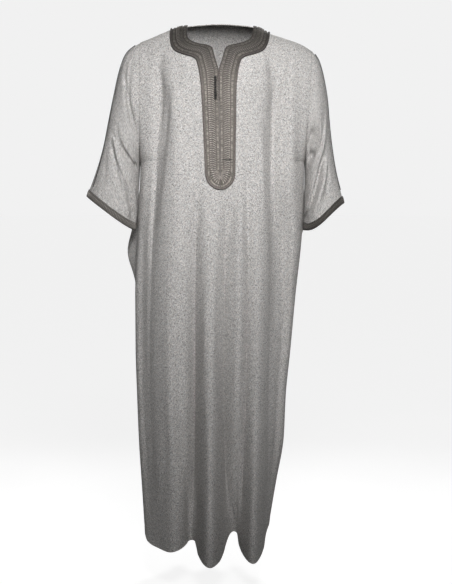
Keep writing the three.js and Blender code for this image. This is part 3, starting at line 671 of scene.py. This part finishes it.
def new_material(name, roughness, sheen=0.0):
    material = bpy.data.materials.new(name)
    material.use_nodes = True
    n = Nodes(material.node_tree)
    shader = n.tree.nodes["Principled BSDF"].inputs
    for socket, value in (("Roughness", roughness), ("Specular IOR Level", 0.25),
                          ("Sheen Weight", sheen), ("Sheen Roughness", 0.45)):
        shader[socket].default_value = value
    return material, n, shader


def grey(value, warmth=0.0, purple=0.0):
    """A near-grey colour, a little warmer or a little more purple."""
    return (value * (1 + warmth + purple), value * (1 - purple * 0.6), value * (1 - warmth + purple), 1)


YARN = {"pitch": 0.00105, "warp_run": 0.0046, "weft_run": 0.0042, "slub": (0.0011, 0.0055),
        "grain": (0.00095, 0.00095), "tint": (0.006, 0.006)}
MELANGE = ((0.38, grey(0.10, 0.02, 0.008)), (0.46, grey(0.33, 0.024, 0.006)),
           (0.54, grey(0.60, 0.028, 0.004)), (0.64, grey(0.80, 0.028)))
TINTS = ((0.35, (0.965, 0.99, 1, 1)), (0.65, (1, 0.98, 0.955, 1)))
SHARES = {"yarn": 0.44, "slub": 0.15, "grain": 0.26}


def melange_material():
    """Twill of light and dark yarns, each of which changes shade along its length."""
    material, n, shader = new_material("melange_cloth_fine", 0.92, sheen=0.02)
    u, v = place = n.place()
    warp, weft = (n.math("DIVIDE", x, YARN["pitch"]) for x in place)
    warp_number, weft_number = (n.math("FLOOR", x) for x in (warp, weft))
    warp_shade = n.noise(n.math("MULTIPLY", warp_number, 7.31), n.math("DIVIDE", v, YARN["warp_run"]), 1.7)
    weft_shade = n.noise(n.math("MULTIPLY", weft_number, 5.17), n.math("DIVIDE", u, YARN["weft_run"]), 9.2)
    diagonal = n.math("FRACT", n.math("MULTIPLY", n.math("ADD", warp_number, weft_number), 0.25))
    warp_on_top = n.math("GREATER_THAN", diagonal, 0.49)
    shade = n.add("Mix", {0: warp_on_top, 2: weft_shade, 3: warp_shade}, data_type="FLOAT").outputs[0]
    slub_down = n.grains(place, YARN["slub"], 3.0)
    slub_over = n.grains(place, YARN["slub"][::-1], 6.0)
    grain = n.grains(place, YARN["grain"], 4.0, 2.0)
    mixed = n.weighted((shade, SHARES["yarn"]), (slub_down, SHARES["slub"]), (slub_over, SHARES["slub"]),
                       (grain, SHARES["grain"]))
    tint = n.ramp(n.grains(place, YARN["tint"], 8.0), *TINTS)
    n.join(n.multiplied(n.ramp(mixed, *MELANGE), tint), shader["Base Color"])
    across_yarn = n.add("Mix", {0: warp_on_top, 2: weft, 3: warp}, data_type="FLOAT").outputs[0]
    height = n.weighted((n.wave(across_yarn), 0.25), (mixed, 1.6))
    n.join(n.bump(height, 0.00028, 0.75), shader["Normal"])
    return material


# Painted shade on the neck braid: darkest above the height "above", full colour below "below".
PAINTED_NECK_SHADE = {"dark": 0.28, "above": -0.025, "below": -0.19}  # heights in metres


def painted_neck_shade(n, color):
    """Painted shade: the braid is darkened by height near the neck and shoulders, where it turns over them,
    and keeps its full colour down the tongue.
    """
    split = n.add("SeparateXYZ", {0: n.add("TexCoord").outputs["Object"]})
    values = (split.outputs[2], PAINTED_NECK_SHADE["below"], PAINTED_NECK_SHADE["above"], 1.0, PAINTED_NECK_SHADE["dark"])
    height = n.add("MapRange", dict(enumerate(values)), interpolation_type="SMOOTHSTEP").outputs[0]
    return n.multiplied(color, height)


THREAD = {"roughness": 0.62, "pitch": 0.0021, "seed": 2.0, "detail": 1.0, "stops": (0.38, 0.62),
          "bump": (0.00012, 0.6)}
TAPE = {"roughness": 0.75, "pitch": 0.0012, "seed": 5.0, "detail": 2.0, "stops": (0.3, 0.72),
        "bump": (0.00025, 0.7), "grain": (0.0022, 0.0016)}


def braid_material(name, kind, dark, light, hue=(0.1, 0.0), grain=0.0026, neck_shaded=False):
    """Shiny thread with fine plies wound round it, or the ribbed ground woven of it: its shade wanders."""
    material, n, shader = new_material(name, kind["roughness"], sheen=0.05)
    u, v = n.place()
    turns = n.math("DIVIDE", v, kind["pitch"])
    if kind is THREAD:
        turns = n.math("ADD", n.math("DIVIDE", u, kind["pitch"]), turns)
    wave = n.wave(turns)
    sizes = kind.get("grain", (0.8 * grain, grain))
    value = n.weighted((wave, 0.12), (n.grains((u, v), sizes, kind["seed"], kind["detail"]), 1.0))
    color = n.ramp(value, *((stop, grey(tone, *hue)) for stop, tone in zip(kind["stops"], (dark, light))))
    # Where neck_shaded is set, painted shade darkens the braid near the shoulders.
    n.join(painted_neck_shade(n, color) if neck_shaded else color, shader["Base Color"])
    n.join(n.bump(wave if kind is THREAD else value, *kind["bump"]), shader["Normal"])
    return material


CLOTH = melange_material()
GROUND_TAPE = braid_material("braid_ground", TAPE, 0.085, 0.2, neck_shaded=True)
BRAID_THREAD = braid_material("braid_thread", THREAD, 0.11, 0.52, grain=0.0034, neck_shaded=True)
CHAIN_THREAD = braid_material("chain_thread", THREAD, 0.1, 0.46, grain=0.0034, neck_shaded=True)
RIM_THREAD = braid_material("rim_thread", THREAD, 0.085, 0.24, (0.11, 0.02), neck_shaded=True)
# The two cuffs are one braid in a lit and a shaded copy. The right cuff's lighter, warmer colours are painted
# light and the left cuff's darker ones are painted shade.
CUFF_THREAD = {"right": braid_material("cuff_thread_right_painted_light", THREAD, 0.045, 0.36, (0.08, 0), 0.0044),
               "left": braid_material("cuff_thread_left_painted_shade", THREAD, 0.02, 0.15, grain=0.0044)}
CUFF_TAPE = {"right": braid_material("cuff_ground_right_painted_light", TAPE, 0.03, 0.12, (0.08, 0)),
             "left": braid_material("cuff_ground_left_painted_shade", TAPE, 0.015, 0.05)}
CORD = braid_material("cord_thread", THREAD, 0.025, 0.095, (0.03, 0))
SEWING = braid_material("sewing_thread", THREAD, 0.2, 0.42, (0.02, 0))


def finish_piece(piece, slot, *nodes):
    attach(piece, "root")
    if nodes:
        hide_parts(*nodes)
    return piece


# Body panels
PANEL_MESH = {"front": {"columns": 190, "rows": 230}, "back": {"columns": 150, "rows": 190}}
HEM_TURN = {"width": 20, "extra": 1.1, "groove": 0.7}
SEAM_PINCH = {"depth": 1.6, "width": 4.5}
DEEP_VALLEY = {"z": -900, "out": -10, "sharp": math.radians(34)}


def out_of_armhole(side, z, to_face):
    half, up = up_armhole(side, z)
    return unit(np.stack([0 * z, to_face * np.sqrt(1 - up * up) / ARMHOLE[side]["depth"], up / half], -1))


def level(normals):
    """Normals turned so that they don't lean forwards or backwards."""
    return unit(normals * (1, 0, 1))


def columns_of(face, count):
    """Values of across that divide the hem of a panel into equal lengths of cloth."""
    stations = np.linspace(-1, 1, 1201)
    length = distances(panel_point(face, stations, LENGTH)[:, :2], 0)
    return np.interp(np.linspace(0, length[-1], count + 1), length, stations)


def rows_of(face, count):
    """Drops for the rows of a panel, close together where the shoulder turns down."""
    bend = SHOULDER_ROUND[face]
    top = int(count * 0.2)
    shoulder = bend * (1 - np.cos(np.linspace(0, math.pi / 2, top, endpoint=False)))
    return np.concatenate([shoulder, np.linspace(bend, LENGTH, count + 1 - top)])


def along_valleys(face, across, drop):
    """Shifts the columns of a panel's grid so that one runs along the bottom of each deep valley."""
    x = panel_point(face, across, drop)[..., 0]
    columns = across[0]
    still = 0 * drop[:, 0]
    knots, moves = [0], [still]
    for f in FOLDS[face]:
        if f["out"](DEEP_VALLEY["z"]) < DEEP_VALLEY["out"]:
            line = np.array([np.interp(f["x"](-d), row, columns) for d, row in zip(drop[:, 0], x)])
            knots.append(int(np.abs(columns - line.mean()).argmin()))
            moves.append(line - columns[knots[-1]])
    knots.append(len(columns) - 1)
    moves.append(still)
    return across + np.array([np.interp(np.arange(len(columns)), knots, row) for row in np.stack(moves, 1)])


def build_panel(face):
    size = PANEL_MESH[face]
    across, drop = np.meshgrid(columns_of(face, size["columns"]), rows_of(face, size["rows"]))
    across = along_valleys(face, across, drop)
    base, normals = panel_point(face, across, drop), panel_normal(face, across, drop)
    normals[0] = level(normals[0])
    for side, column in (("right", 0), ("left", -1)):
        z = base[:, column, 2]
        on_hole = (z >= ARMHOLE[side]["bottomZ"])[:, None]
        out = out_of_armhole(side, z, TO_FACE[face])
        normals[:, column] = np.where(on_hole, out, level(normals[:, column]))
    over, down = distances(base, 1), distances(base, 0)
    to_side, to_hem = np.minimum(over, over[:, -1:] - over), down[-1:] - down
    pinch = SEAM_PINCH["depth"] * peak(to_side, SEAM_PINCH["width"])
    pinch[drop < 1e-6] = 0
    groove = HEM_TURN["groove"] * peak(to_hem - HEM_TURN["width"], 2.6)
    outer = base + normals * (panel_relief(face, base, across) - pinch - groove)[..., None]
    turned_up = 1 - smoothstep(to_hem, HEM_TURN["width"] - 2, HEM_TURN["width"] + 1)
    inner = outer - normals * (WALL + HEM_TURN["extra"] * turned_up)[..., None]
    middle = over[:, over.shape[1] // 2][:, None]
    uv = np.stack([over - middle + (0 if face == "front" else 2000), down], -1)
    return wall(face + "_panel", outer, inner, uv, CLOTH, flip=face == "front")


def neck_outline(face, count=90, above=60):
    """The neck opening in the front view, with the slit below its V, as (x, z)."""
    out, z = smooth_path(NECKLINE[face], count).T
    gap = SLIT["width"] / 2 if face == "front" else 0
    out, middle = np.maximum(out, gap), centre_x(z)
    right, left = (np.stack([middle + sign * out, z], -1) for sign in (-1, 1))
    if face == "front":
        x = float(centre_x(SLIT["bottom"]))
        right = np.concatenate([right, [(x - gap, SLIT["bottom"]), (x + gap, SLIT["bottom"])]])
    else:
        left = left[:-1]
    return np.concatenate([[(right[0, 0], above)], right, left[::-1], [(left[0, 0], above)]])


def cut_neck(piece, face):
    outline = neck_outline(face)
    count = len(outline)
    ends = [np.insert(outline, 1, y, axis=1) for y in (0, 400 * TO_FACE[face])]
    mesh = bpy.data.meshes.new("neck_block")
    quads = [(k, (k + 1) % count, count + (k + 1) % count, count + k) for k in range(count)]
    faces = quads + [tuple(range(count))[::-1], tuple(range(count, 2 * count))]
    mesh.from_pydata((np.concatenate(ends) * MM).tolist(), [], faces)
    mesh.update()
    block = add_object("neck_block", mesh)
    cut = piece.modifiers.new("neck", "BOOLEAN")
    cut.operation, cut.object, cut.solver = "DIFFERENCE", block, "EXACT"
    bpy.context.view_layer.update()
    shaped = piece.evaluated_get(bpy.context.evaluated_depsgraph_get())
    mesh = bpy.data.meshes.new_from_object(shaped)
    piece.modifiers.clear()
    old, piece.data = piece.data, mesh
    bpy.data.meshes.remove(old)
    bpy.data.objects.remove(block)


panels = {}
for face in TO_FACE:
    panels[face] = finish_piece(build_panel(face), "melange_cloth", face)
    cut_neck(panels[face], face)
    panels[face].data.set_sharp_from_angle(angle=DEEP_VALLEY["sharp"])

# Sleeves
SLEEVE_MESH = {"columns": 190, "rows": 84}


def with_first(grid):
    """A grid round a tube, with its first column again at the end."""
    return np.concatenate([grid, grid[:, :1]], 1)


def build_sleeve(side):
    turn, along = np.meshgrid(np.linspace(0, WHOLE_TURN, SLEEVE_MESH["columns"], endpoint=False),
                              np.linspace(0, 1, SLEEVE_MESH["rows"] + 1))
    base, normals = sleeve_point(side, turn, along), sleeve_normal(side, turn, along)
    normals[0] = out_of_armhole(side, base[0, :, 2], np.where(turn[0] < math.pi, -1, 1))
    down = distances(base, 0)
    pinch = SEAM_PINCH["depth"] * peak(down, SEAM_PINCH["width"])
    outer = sleeve_surface(side, turn, along) - normals * pinch[..., None]
    over = distances(with_first(base), 1)
    uv = np.stack([over + 4000 + 1000 * SIDES[side], with_first(down)], -1)
    inner = outer - normals * WALL
    return wall("sleeve_cloth_" + side, outer, inner, uv, CLOTH, closed=True, flip=side == "right")


sleeves = {side: finish_piece(build_sleeve(side), "melange_cloth", "sleeve_" + side) for side in SIDES}

# Braid round the neck: shares of its width, from the inner edge
ZONES = {"seam": 0.05, "inner": 0.12, "gap_in": 0.21, "wide": (0.25, 0.63), "gap_out": 0.675, "outer": 0.75,
         "gap_rim": 0.825, "rim": 0.95}
GROUND = 1.1
TOP = REST_GAP + GROUND  # height of the woven ground off the cloth
BRAID_WIDTH = 41.0


def locate(face, x, z):
    """The across and drop at which a panel passes through places in the front view."""
    across, drop = x / 250.0, np.maximum(-z, 0.0)
    for _ in range(60):
        p = panel_point(face, across, drop)
        across = np.clip(across + (x - p[..., 0]) / 400, -1, 1)
        drop = np.maximum(0, drop + p[..., 2] - z)
    return across, drop


class Band:
    """A stretch of braid on a panel: places on it are given by the length along its middle line
    in millimetres and the share of its width from the inner edge."""

    def __init__(self, face, sign, stations, shares=25):
        self.face = face
        edges = np.array(BRAID_ROUTE[face], float)
        length = distances((edges[:, :2] + edges[:, 2:]) / 2, 0)
        path = read_along(edges, length, length[-1] * np.linspace(0, 1, stations) ** 1.6)
        if face == "front":
            quarter = np.linspace(0, math.pi / 2, 40)[1:]
            pivot = lerp(path[-1, 1], TONGUE_END["pivot"], np.sin(quarter))
            path = np.concatenate([path, np.stack([
                np.full(len(quarter), 0.15), pivot, np.maximum(TONGUE_END["width"] * np.cos(quarter), 0.15),
                TONGUE_END["z"] - TONGUE_END["height"] * np.sin(quarter)], -1)])
        else:
            path = np.concatenate([path, path[::-1][1:] * (-1, 1, -1, 1)])
        share = np.linspace(0, 1, shares)[None]
        z = lerp(path[:, 1:2], path[:, 3:4], share)
        x = centre_x(z) + sign * lerp(path[:, 0:1], path[:, 2:3], share)
        self.across, self.drop = locate(face, x, z)
        ends = [0] if face == "front" else [0, -1]
        self.drop[ends] = 0  # the braid meets its neighbour on the shoulder ridge
        self.length = distances(panel_point(face, self.across, self.drop)[:, shares // 2], 0)
        self.end, self.pivot = self.length[-1], self.length[stations - 1]

    def find(self, s, w):
        s, w = np.broadcast_arrays(np.asarray(s, float), np.asarray(w, float))
        last_row, last_column = (count - 1 for count in self.across.shape)
        row = np.clip(np.interp(s, self.length, np.arange(last_row + 1)), 0, last_row - 0.001)
        column = np.clip(w * last_column, 0, last_column - 0.001)
        i, j = row.astype(int), column.astype(int)
        return [lerp(lerp(grid[i, j], grid[i, j + 1], column - j),
                     lerp(grid[i + 1, j], grid[i + 1, j + 1], column - j), row - i)
                for grid in (self.across, self.drop)]

    def place(self, s, w, lift):
        return panel_surface(self.face, *self.find(s, w), lift)

    def normal(self, s, w):
        return panel_normal(self.face, *self.find(s, w))


def build_ground(name, band, flip):
    s, w = np.meshgrid(np.linspace(0, band.end, int(band.end / 2.6)), np.linspace(0, 1, 46), indexing="ij")
    across, drop = band.find(s, w)
    base, normals = panel_point(band.face, across, drop), panel_normal(band.face, across, drop)
    for row in (0,) if band.face == "front" else (0, -1):
        normals[row] = level(normals[row])
    inner = panel_relief(band.face, base, across) + REST_GAP
    gaps = {gap: peak(w - ZONES[gap], 0.018) for gap in ("gap_in", "gap_out", "gap_rim")}
    gaps["gap_in"] *= 1 - smoothstep(s, band.pivot - 6, band.pivot + 6)
    outer = inner + GROUND + 0.9 * peak(w - ZONES["rim"], 0.045) - 0.5 * sum(gaps.values())
    skins = (base + normals * height[..., None] for height in (outer, inner))
    return wall(name, *skins, np.stack([distances(base, 1), s], -1), GROUND_TAPE, flip=flip)


CHAIN = {"pitch": 15.6, "samples": 24, "spread": 1.8, "thread": 0.9, "swing": 0.9, "sunk": 0.4}
STROKE = {"pitch": 5.4, "thread": 1.3, "slant": 3.4, "bend": 1.2, "sunk": 0.35}


def build_chain(name, band, share, start, end):
    """Three threads plaited along a stretch of the braid."""
    s = np.linspace(start, end, max(2, int((end - start) / CHAIN["pitch"] * CHAIN["samples"])))
    phase = WHOLE_TURN * (s / CHAIN["pitch"] + np.arange(3)[:, None] / 3)
    w = share + CHAIN["spread"] / BRAID_WIDTH * np.sin(phase)
    height = TOP - CHAIN["sunk"] + CHAIN["swing"] * (1 + 0.55 * np.sin(2 * phase))
    return tubes(name, band.place(s, w, height), CHAIN["thread"], CHAIN_THREAD, 5, 0.8, band.normal(s, w))


def build_strokes(name, band, start, end):
    """Slanted threads of the broad braid, each bent like a bracket and knobbly along its length."""
    t = np.linspace(0, 1, 19)
    strokes = np.arange(start + STROKE["pitch"], end - STROKE["pitch"] / 2, STROKE["pitch"])
    s = strokes[:, None] + (STROKE["slant"] * (1 - t) ** 2 - STROKE["bend"] * np.sin(math.pi * t))[None]
    lo, hi = ZONES["wide"]
    turned = smoothstep(s, band.pivot - 10, band.pivot + 12) * (band.face == "front")
    w = lerp(lerp(lo, ZONES["seam"], turned), hi, t[None])
    arch = 0.6 + 0.5 * np.sin(math.pi * t) ** 0.6 + 0.45 * np.sin(3 * math.pi * t) ** 2
    places = band.place(s, w, TOP + arch - STROKE["sunk"])
    return tubes(name, places, STROKE["thread"], BRAID_THREAD, 6, 0.8, band.normal(s, w))


def two_plies(name, centre, out, length, pitch, away, radius, material):
    """Two plies wound round each other along a line."""
    over = unit(np.cross(np.gradient(centre, axis=0), out))
    angle = WHOLE_TURN * (length / pitch + np.array([[0], [0.5]]))[..., None]
    plies = centre + away * (over * np.cos(angle) + out * np.sin(angle))
    return tubes(name, plies, radius, material, normals=out)


def edge_twist(name, band, share, lift, length, radius, pitch):
    """Two plies twisted together along an edge of the braid."""
    s = np.linspace(0, length, int(length / pitch * 9))
    centre, out = band.place(s, share, np.full(len(s), lift)), band.normal(s, share)
    return two_plies(name, centre, out, s, pitch, 0.55 * radius, 0.62 * radius, RIM_THREAD)


def braid_name(part, place):
    if place == "back":
        part, place = place, "_".join(part.split("_")[::-1])
    return f"neck_{part}_{place}"


def build_braid(place):
    """The ground, chains and slanted threads on one stretch of the braid."""
    band = bands[place]
    ground = build_ground("neck_braid_" + place, band, flip=place != "left")
    finish_piece(ground, "braid", "neck_band_" + place)
    stops = (band.pivot - 2, band.end - 1, band.end)
    if place == "back":
        stops = (band.end - 1.5, band.end - 1.5, band.end - 2)
    threads = [build_chain(braid_name("chain_inner", place), band, ZONES["inner"], 1.5, stops[0]),
               build_chain(braid_name("chain_outer", place), band, ZONES["outer"], 1.5, stops[1]),
               build_strokes(braid_name("plait", place), band, 1, stops[2])]
    return [ground] + [finish_piece(thread, "braid") for thread in threads]


bands = {side: Band("front", sign, 360) for side, sign in SIDES.items()}
bands["back"] = Band("back", 1, 160)
braids = {side: build_braid(side) for side in SIDES}
BAR_TACK = {"drop": 343, "from": 0.14, "to": 0.74, "apart": 0.6}


def build_bar_tack():
    """A bar of dark stitches that holds the foot of the slit, across the left half of the braid."""
    band = bands["left"]
    w = np.linspace(BAR_TACK["from"], BAR_TACK["to"], 60)
    straight = band.length <= band.pivot
    low = np.interp(BAR_TACK["drop"], band.drop[straight, 12], band.length[straight])
    height = TOP + 1.5 + 0.35 * np.abs(np.sin(w * 40))
    s = low + BAR_TACK["apart"] * np.array([[-1], [1]])
    finish_piece(tubes("bar_tack", band.place(s, w, height), 0.6, CORD, 6, 0.8, band.normal(low, w)), "cord")


build_bar_tack()
braids["back"] = build_braid("back")


# Cuffs
def cuff_along(side, turn, w):
    """How far along the sleeve a place on the cuff's braid is, where w runs from the edge up the arm."""
    gone = sleeve_point(side, turn, 0.96) - sleeve_point(side, turn, 1.0)
    return 1 - 0.04 * CUFF_BRAID / np.linalg.norm(gone, axis=-1) * w


def build_cuff(side):
    turn, w = np.meshgrid(np.linspace(0, WHOLE_TURN, 220, endpoint=False), np.linspace(1, 0, 15))
    height = GROUND + 0.35 * np.abs(np.sin(turn * 60)) ** 0.7 + 0.5 * (peak(w, 0.09) + peak(1 - w, 0.07))
    along = cuff_along(side, turn, w)
    inner, outer = (sleeve_surface(side, turn, along, REST_GAP + lift) for lift in (0 * w, height))
    uv = np.stack([distances(with_first(inner), axis) for axis in (0, 1)], -1)
    piece = wall("cuff_braid_" + side, outer, inner, uv, CUFF_TAPE[side], closed=True, flip=side == "right")
    return finish_piece(piece, "braid", "cuff_band_" + side)


def build_cuff_ribs(side, count=108):
    """Threads laid across the cuff's braid."""
    turn, w = np.broadcast_arrays((np.arange(count) * WHOLE_TURN / count)[:, None], np.linspace(0.1, 0.92, 7))
    height = REST_GAP + 1.25 + 0.5 * np.sin(math.pi * (w - 0.05))
    along = cuff_along(side, turn, w)
    paths, normals = sleeve_surface(side, turn, along, height), sleeve_normal(side, turn, along)
    return finish_piece(tubes("cuff_ribs_" + side, paths, 1.25, CUFF_THREAD[side], 6, 0.6, normals), "braid")


cuffs = {side: [build_cuff(side), build_cuff_ribs(side)] for side in SIDES}

# Cords over the overarm seams: two thin plies wound round each other
for side in SIDES:
    along = np.linspace(0.03, 0.915, 420)
    turn = lerp(*OVERARM[side], along)
    centre, normals = sleeve_surface(side, turn, along, 1.3), sleeve_normal(side, turn, along)
    cord = two_plies("overarm_cord_" + side, centre, normals, distances(centre, 0), 5.5, 0.62, 0.75, CORD)
    finish_piece(cord, "cord", "sleeve_cord_" + side)


# Knots and their loops, which hold the slit shut
def build_knot(z):
    """A knotted button: one thread wound three ways round a ball."""
    across, drop = locate("front", np.array([centre_x(z) - KNOT["aside"]]), np.array([z]))
    normal = panel_normal("front", across, drop)[0]
    stand = REST_GAP + BRAID + REST_GAP + KNOT["radius"]
    centre = panel_surface("front", across, drop, np.array([stand]))[0]
    over = unit(np.cross(normal, np.array([0, 0, 1.0])))
    t = np.linspace(0, WHOLE_TURN, 90)
    lean = 0.62 * np.sin(3 * t)
    ring = np.stack([KNOT["barrel"] * np.sin(lean), KNOT["low"] * np.cos(2 * t) * np.cos(lean),
                     np.sin(2 * t) * np.cos(lean)], -1)
    return centre + (KNOT["radius"] - 0.75) * (ring @ np.stack([over, np.cross(over, normal), normal]))


def build_loop(z):
    """A loop of thin cord from the left half of the braid round a knot."""
    t = np.linspace(0, 1, 25)
    x = float(centre_x(z)) + 3.0 - (KNOT["aside"] + 5.5) * np.sin(math.pi * t)
    across, drop = locate("front", x, z + 2.5 * np.cos(math.pi * t))
    return panel_surface("front", across, drop, np.full(len(t), REST_GAP + BRAID + 0.9))


knot_heights = [KNOT["top"] - k * KNOT["pitch"] for k in range(KNOT["count"])]
for k, z in enumerate(knot_heights, 1):
    thread = tubes(f"knot_thread_{k}", build_knot(z)[None], 0.95, CORD, normals=(0, -1.0, 0.1))
    finish_piece(thread, "cord", f"knot_{k}")
loops = np.stack([build_loop(z) for z in knot_heights])
finish_piece(tubes("knot_loops", loops, 0.7, RIM_THREAD), "cord")

# Edging that covers the raw edge of the neckline, and the braid's rim: share of its width, height,
# length, thickness and pitch
SHUT = 150  # below this drop the two halves touch, and no edging shows
RIM = (ZONES["rim"], REST_GAP + 1.9)
for place, band in bands.items():
    if place == "back":
        twists = {"edging": (0.02, 1.2, band.end, 1.5, 5.5), "rim": (*RIM, band.end, 2.0, 5.5)}
    else:
        shut = band.length[np.argmax(band.drop[:, 0] > SHUT)]
        twists = {"edging": (0.015, 1.2, shut, 1.5, 5.0), "rim": (*RIM, band.end - 1, 2.0, 6.5)}
    for part, sizes in twists.items():
        braids[place].append(finish_piece(edge_twist(braid_name(part, place), band, *sizes), "braid"))

STITCH = {"apart": 7.0, "long": 4.4, "high": 0.25, "thread": 0.32}


def hem_stitches(face):
    """Short stitches that hold the turned-up hem."""
    across = columns_of(face, 600)
    seam = LENGTH - HEM_TURN["width"]
    length = distances(panel_point(face, across, seam), 0)
    t = np.linspace(0, 1, 5)
    at = np.arange(6, length[-1] - 8, STITCH["apart"])[:, None] + STITCH["long"] * t
    spot = np.interp(at, length, across)
    lift = STITCH["high"] * np.sin(math.pi * t) - HEM_TURN["groove"] + 0.1
    paths = panel_surface(face, spot, seam, np.broadcast_to(lift, spot.shape))
    normals = panel_normal(face, spot, seam)
    return tubes("hem_stitches_" + face, paths, STITCH["thread"], SEWING, 5, normals=normals)


stitches = {face: finish_piece(hem_stitches(face), "melange_cloth") for face in TO_FACE}

# The pieces that go with each ground, made into lists that are not kept
for side in SIDES:
    ground, *rest = braids[side]
    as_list(rest)
    ground, *rest = cuffs[side]
    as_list(rest)
ground, *rest = braids["back"]
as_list(rest)

# Floor and lights
FLOOR = {"z": -1.44, "reach": 60}
BACKDROP = 0.88  # brightness of the plain white behind and below the garment
AMBIENT = 0.045


def make_floor():
    mesh = bpy.data.meshes.new("floor")
    square = ((-1, -1), (1, -1), (1, 1), (-1, 1))
    corners = [(x * FLOOR["reach"], y * FLOOR["reach"], FLOOR["z"]) for x, y in square]
    mesh.from_pydata(corners, [], [(0, 1, 2, 3)])
    floor = add_object("floor", mesh)
    material, n, shader = new_material("pale_floor", 0.8)
    noise = n.add("TexNoise", {"Vector": n.add("TexCoord").outputs["Object"], "Scale": 3.0})
    n.join(n.ramp(noise.outputs["Fac"], (0.3, grey(0.24)), (0.7, grey(0.27))), shader["Base Color"])
    shader["Emission Color"].default_value = grey(1.0)
    shader["Emission Strength"].default_value = BACKDROP - 0.02
    mesh.materials.append(material)
    floor.visible_diffuse = False
    floor.visible_glossy = False


def area_light(name, location, target, size, power, spread):
    data = bpy.data.lights.new(name, "AREA")
    data.shape, data.size, data.energy = "DISK", size, power
    data.spread = math.radians(spread)
    light = add_object(name, data)
    light.location = location
    light.rotation_euler = (Vector(target) - Vector(location)).to_track_quat("-Z", "Y").to_euler()


def make_world():
    world = bpy.data.worlds.new("studio")
    world.use_nodes = True
    n = Nodes(world.node_tree)
    seen = n.math("MULTIPLY", n.add("LightPath").outputs["Is Camera Ray"], BACKDROP - AMBIENT)
    background = world.node_tree.nodes["Background"].inputs
    background["Color"].default_value = grey(1.0)
    n.join(n.math("ADD", seen, AMBIENT), background["Strength"])
    bpy.context.scene.world = world


make_floor()
make_world()
area_light("key", (0.1, -1.6, 0.55), (0, 0, -0.38), 0.6, 6.5, 76)
area_light("fill", (0.7, -2.2, 0.2), (0, 0, -0.5), 1.2, 0.85, 38)
area_light("back_light", (0.2, 1.7, 0.75), (0, 0, -0.1), 0.8, 19, 120)
for sign in (-1, 1):
    area_light(f"side_light_{sign}", (1.9 * sign, 0.9, -0.75), (0, 0, -0.7), 0.9, 2.6, 112)
bpy.context.scene.view_settings.view_transform = "Standard"
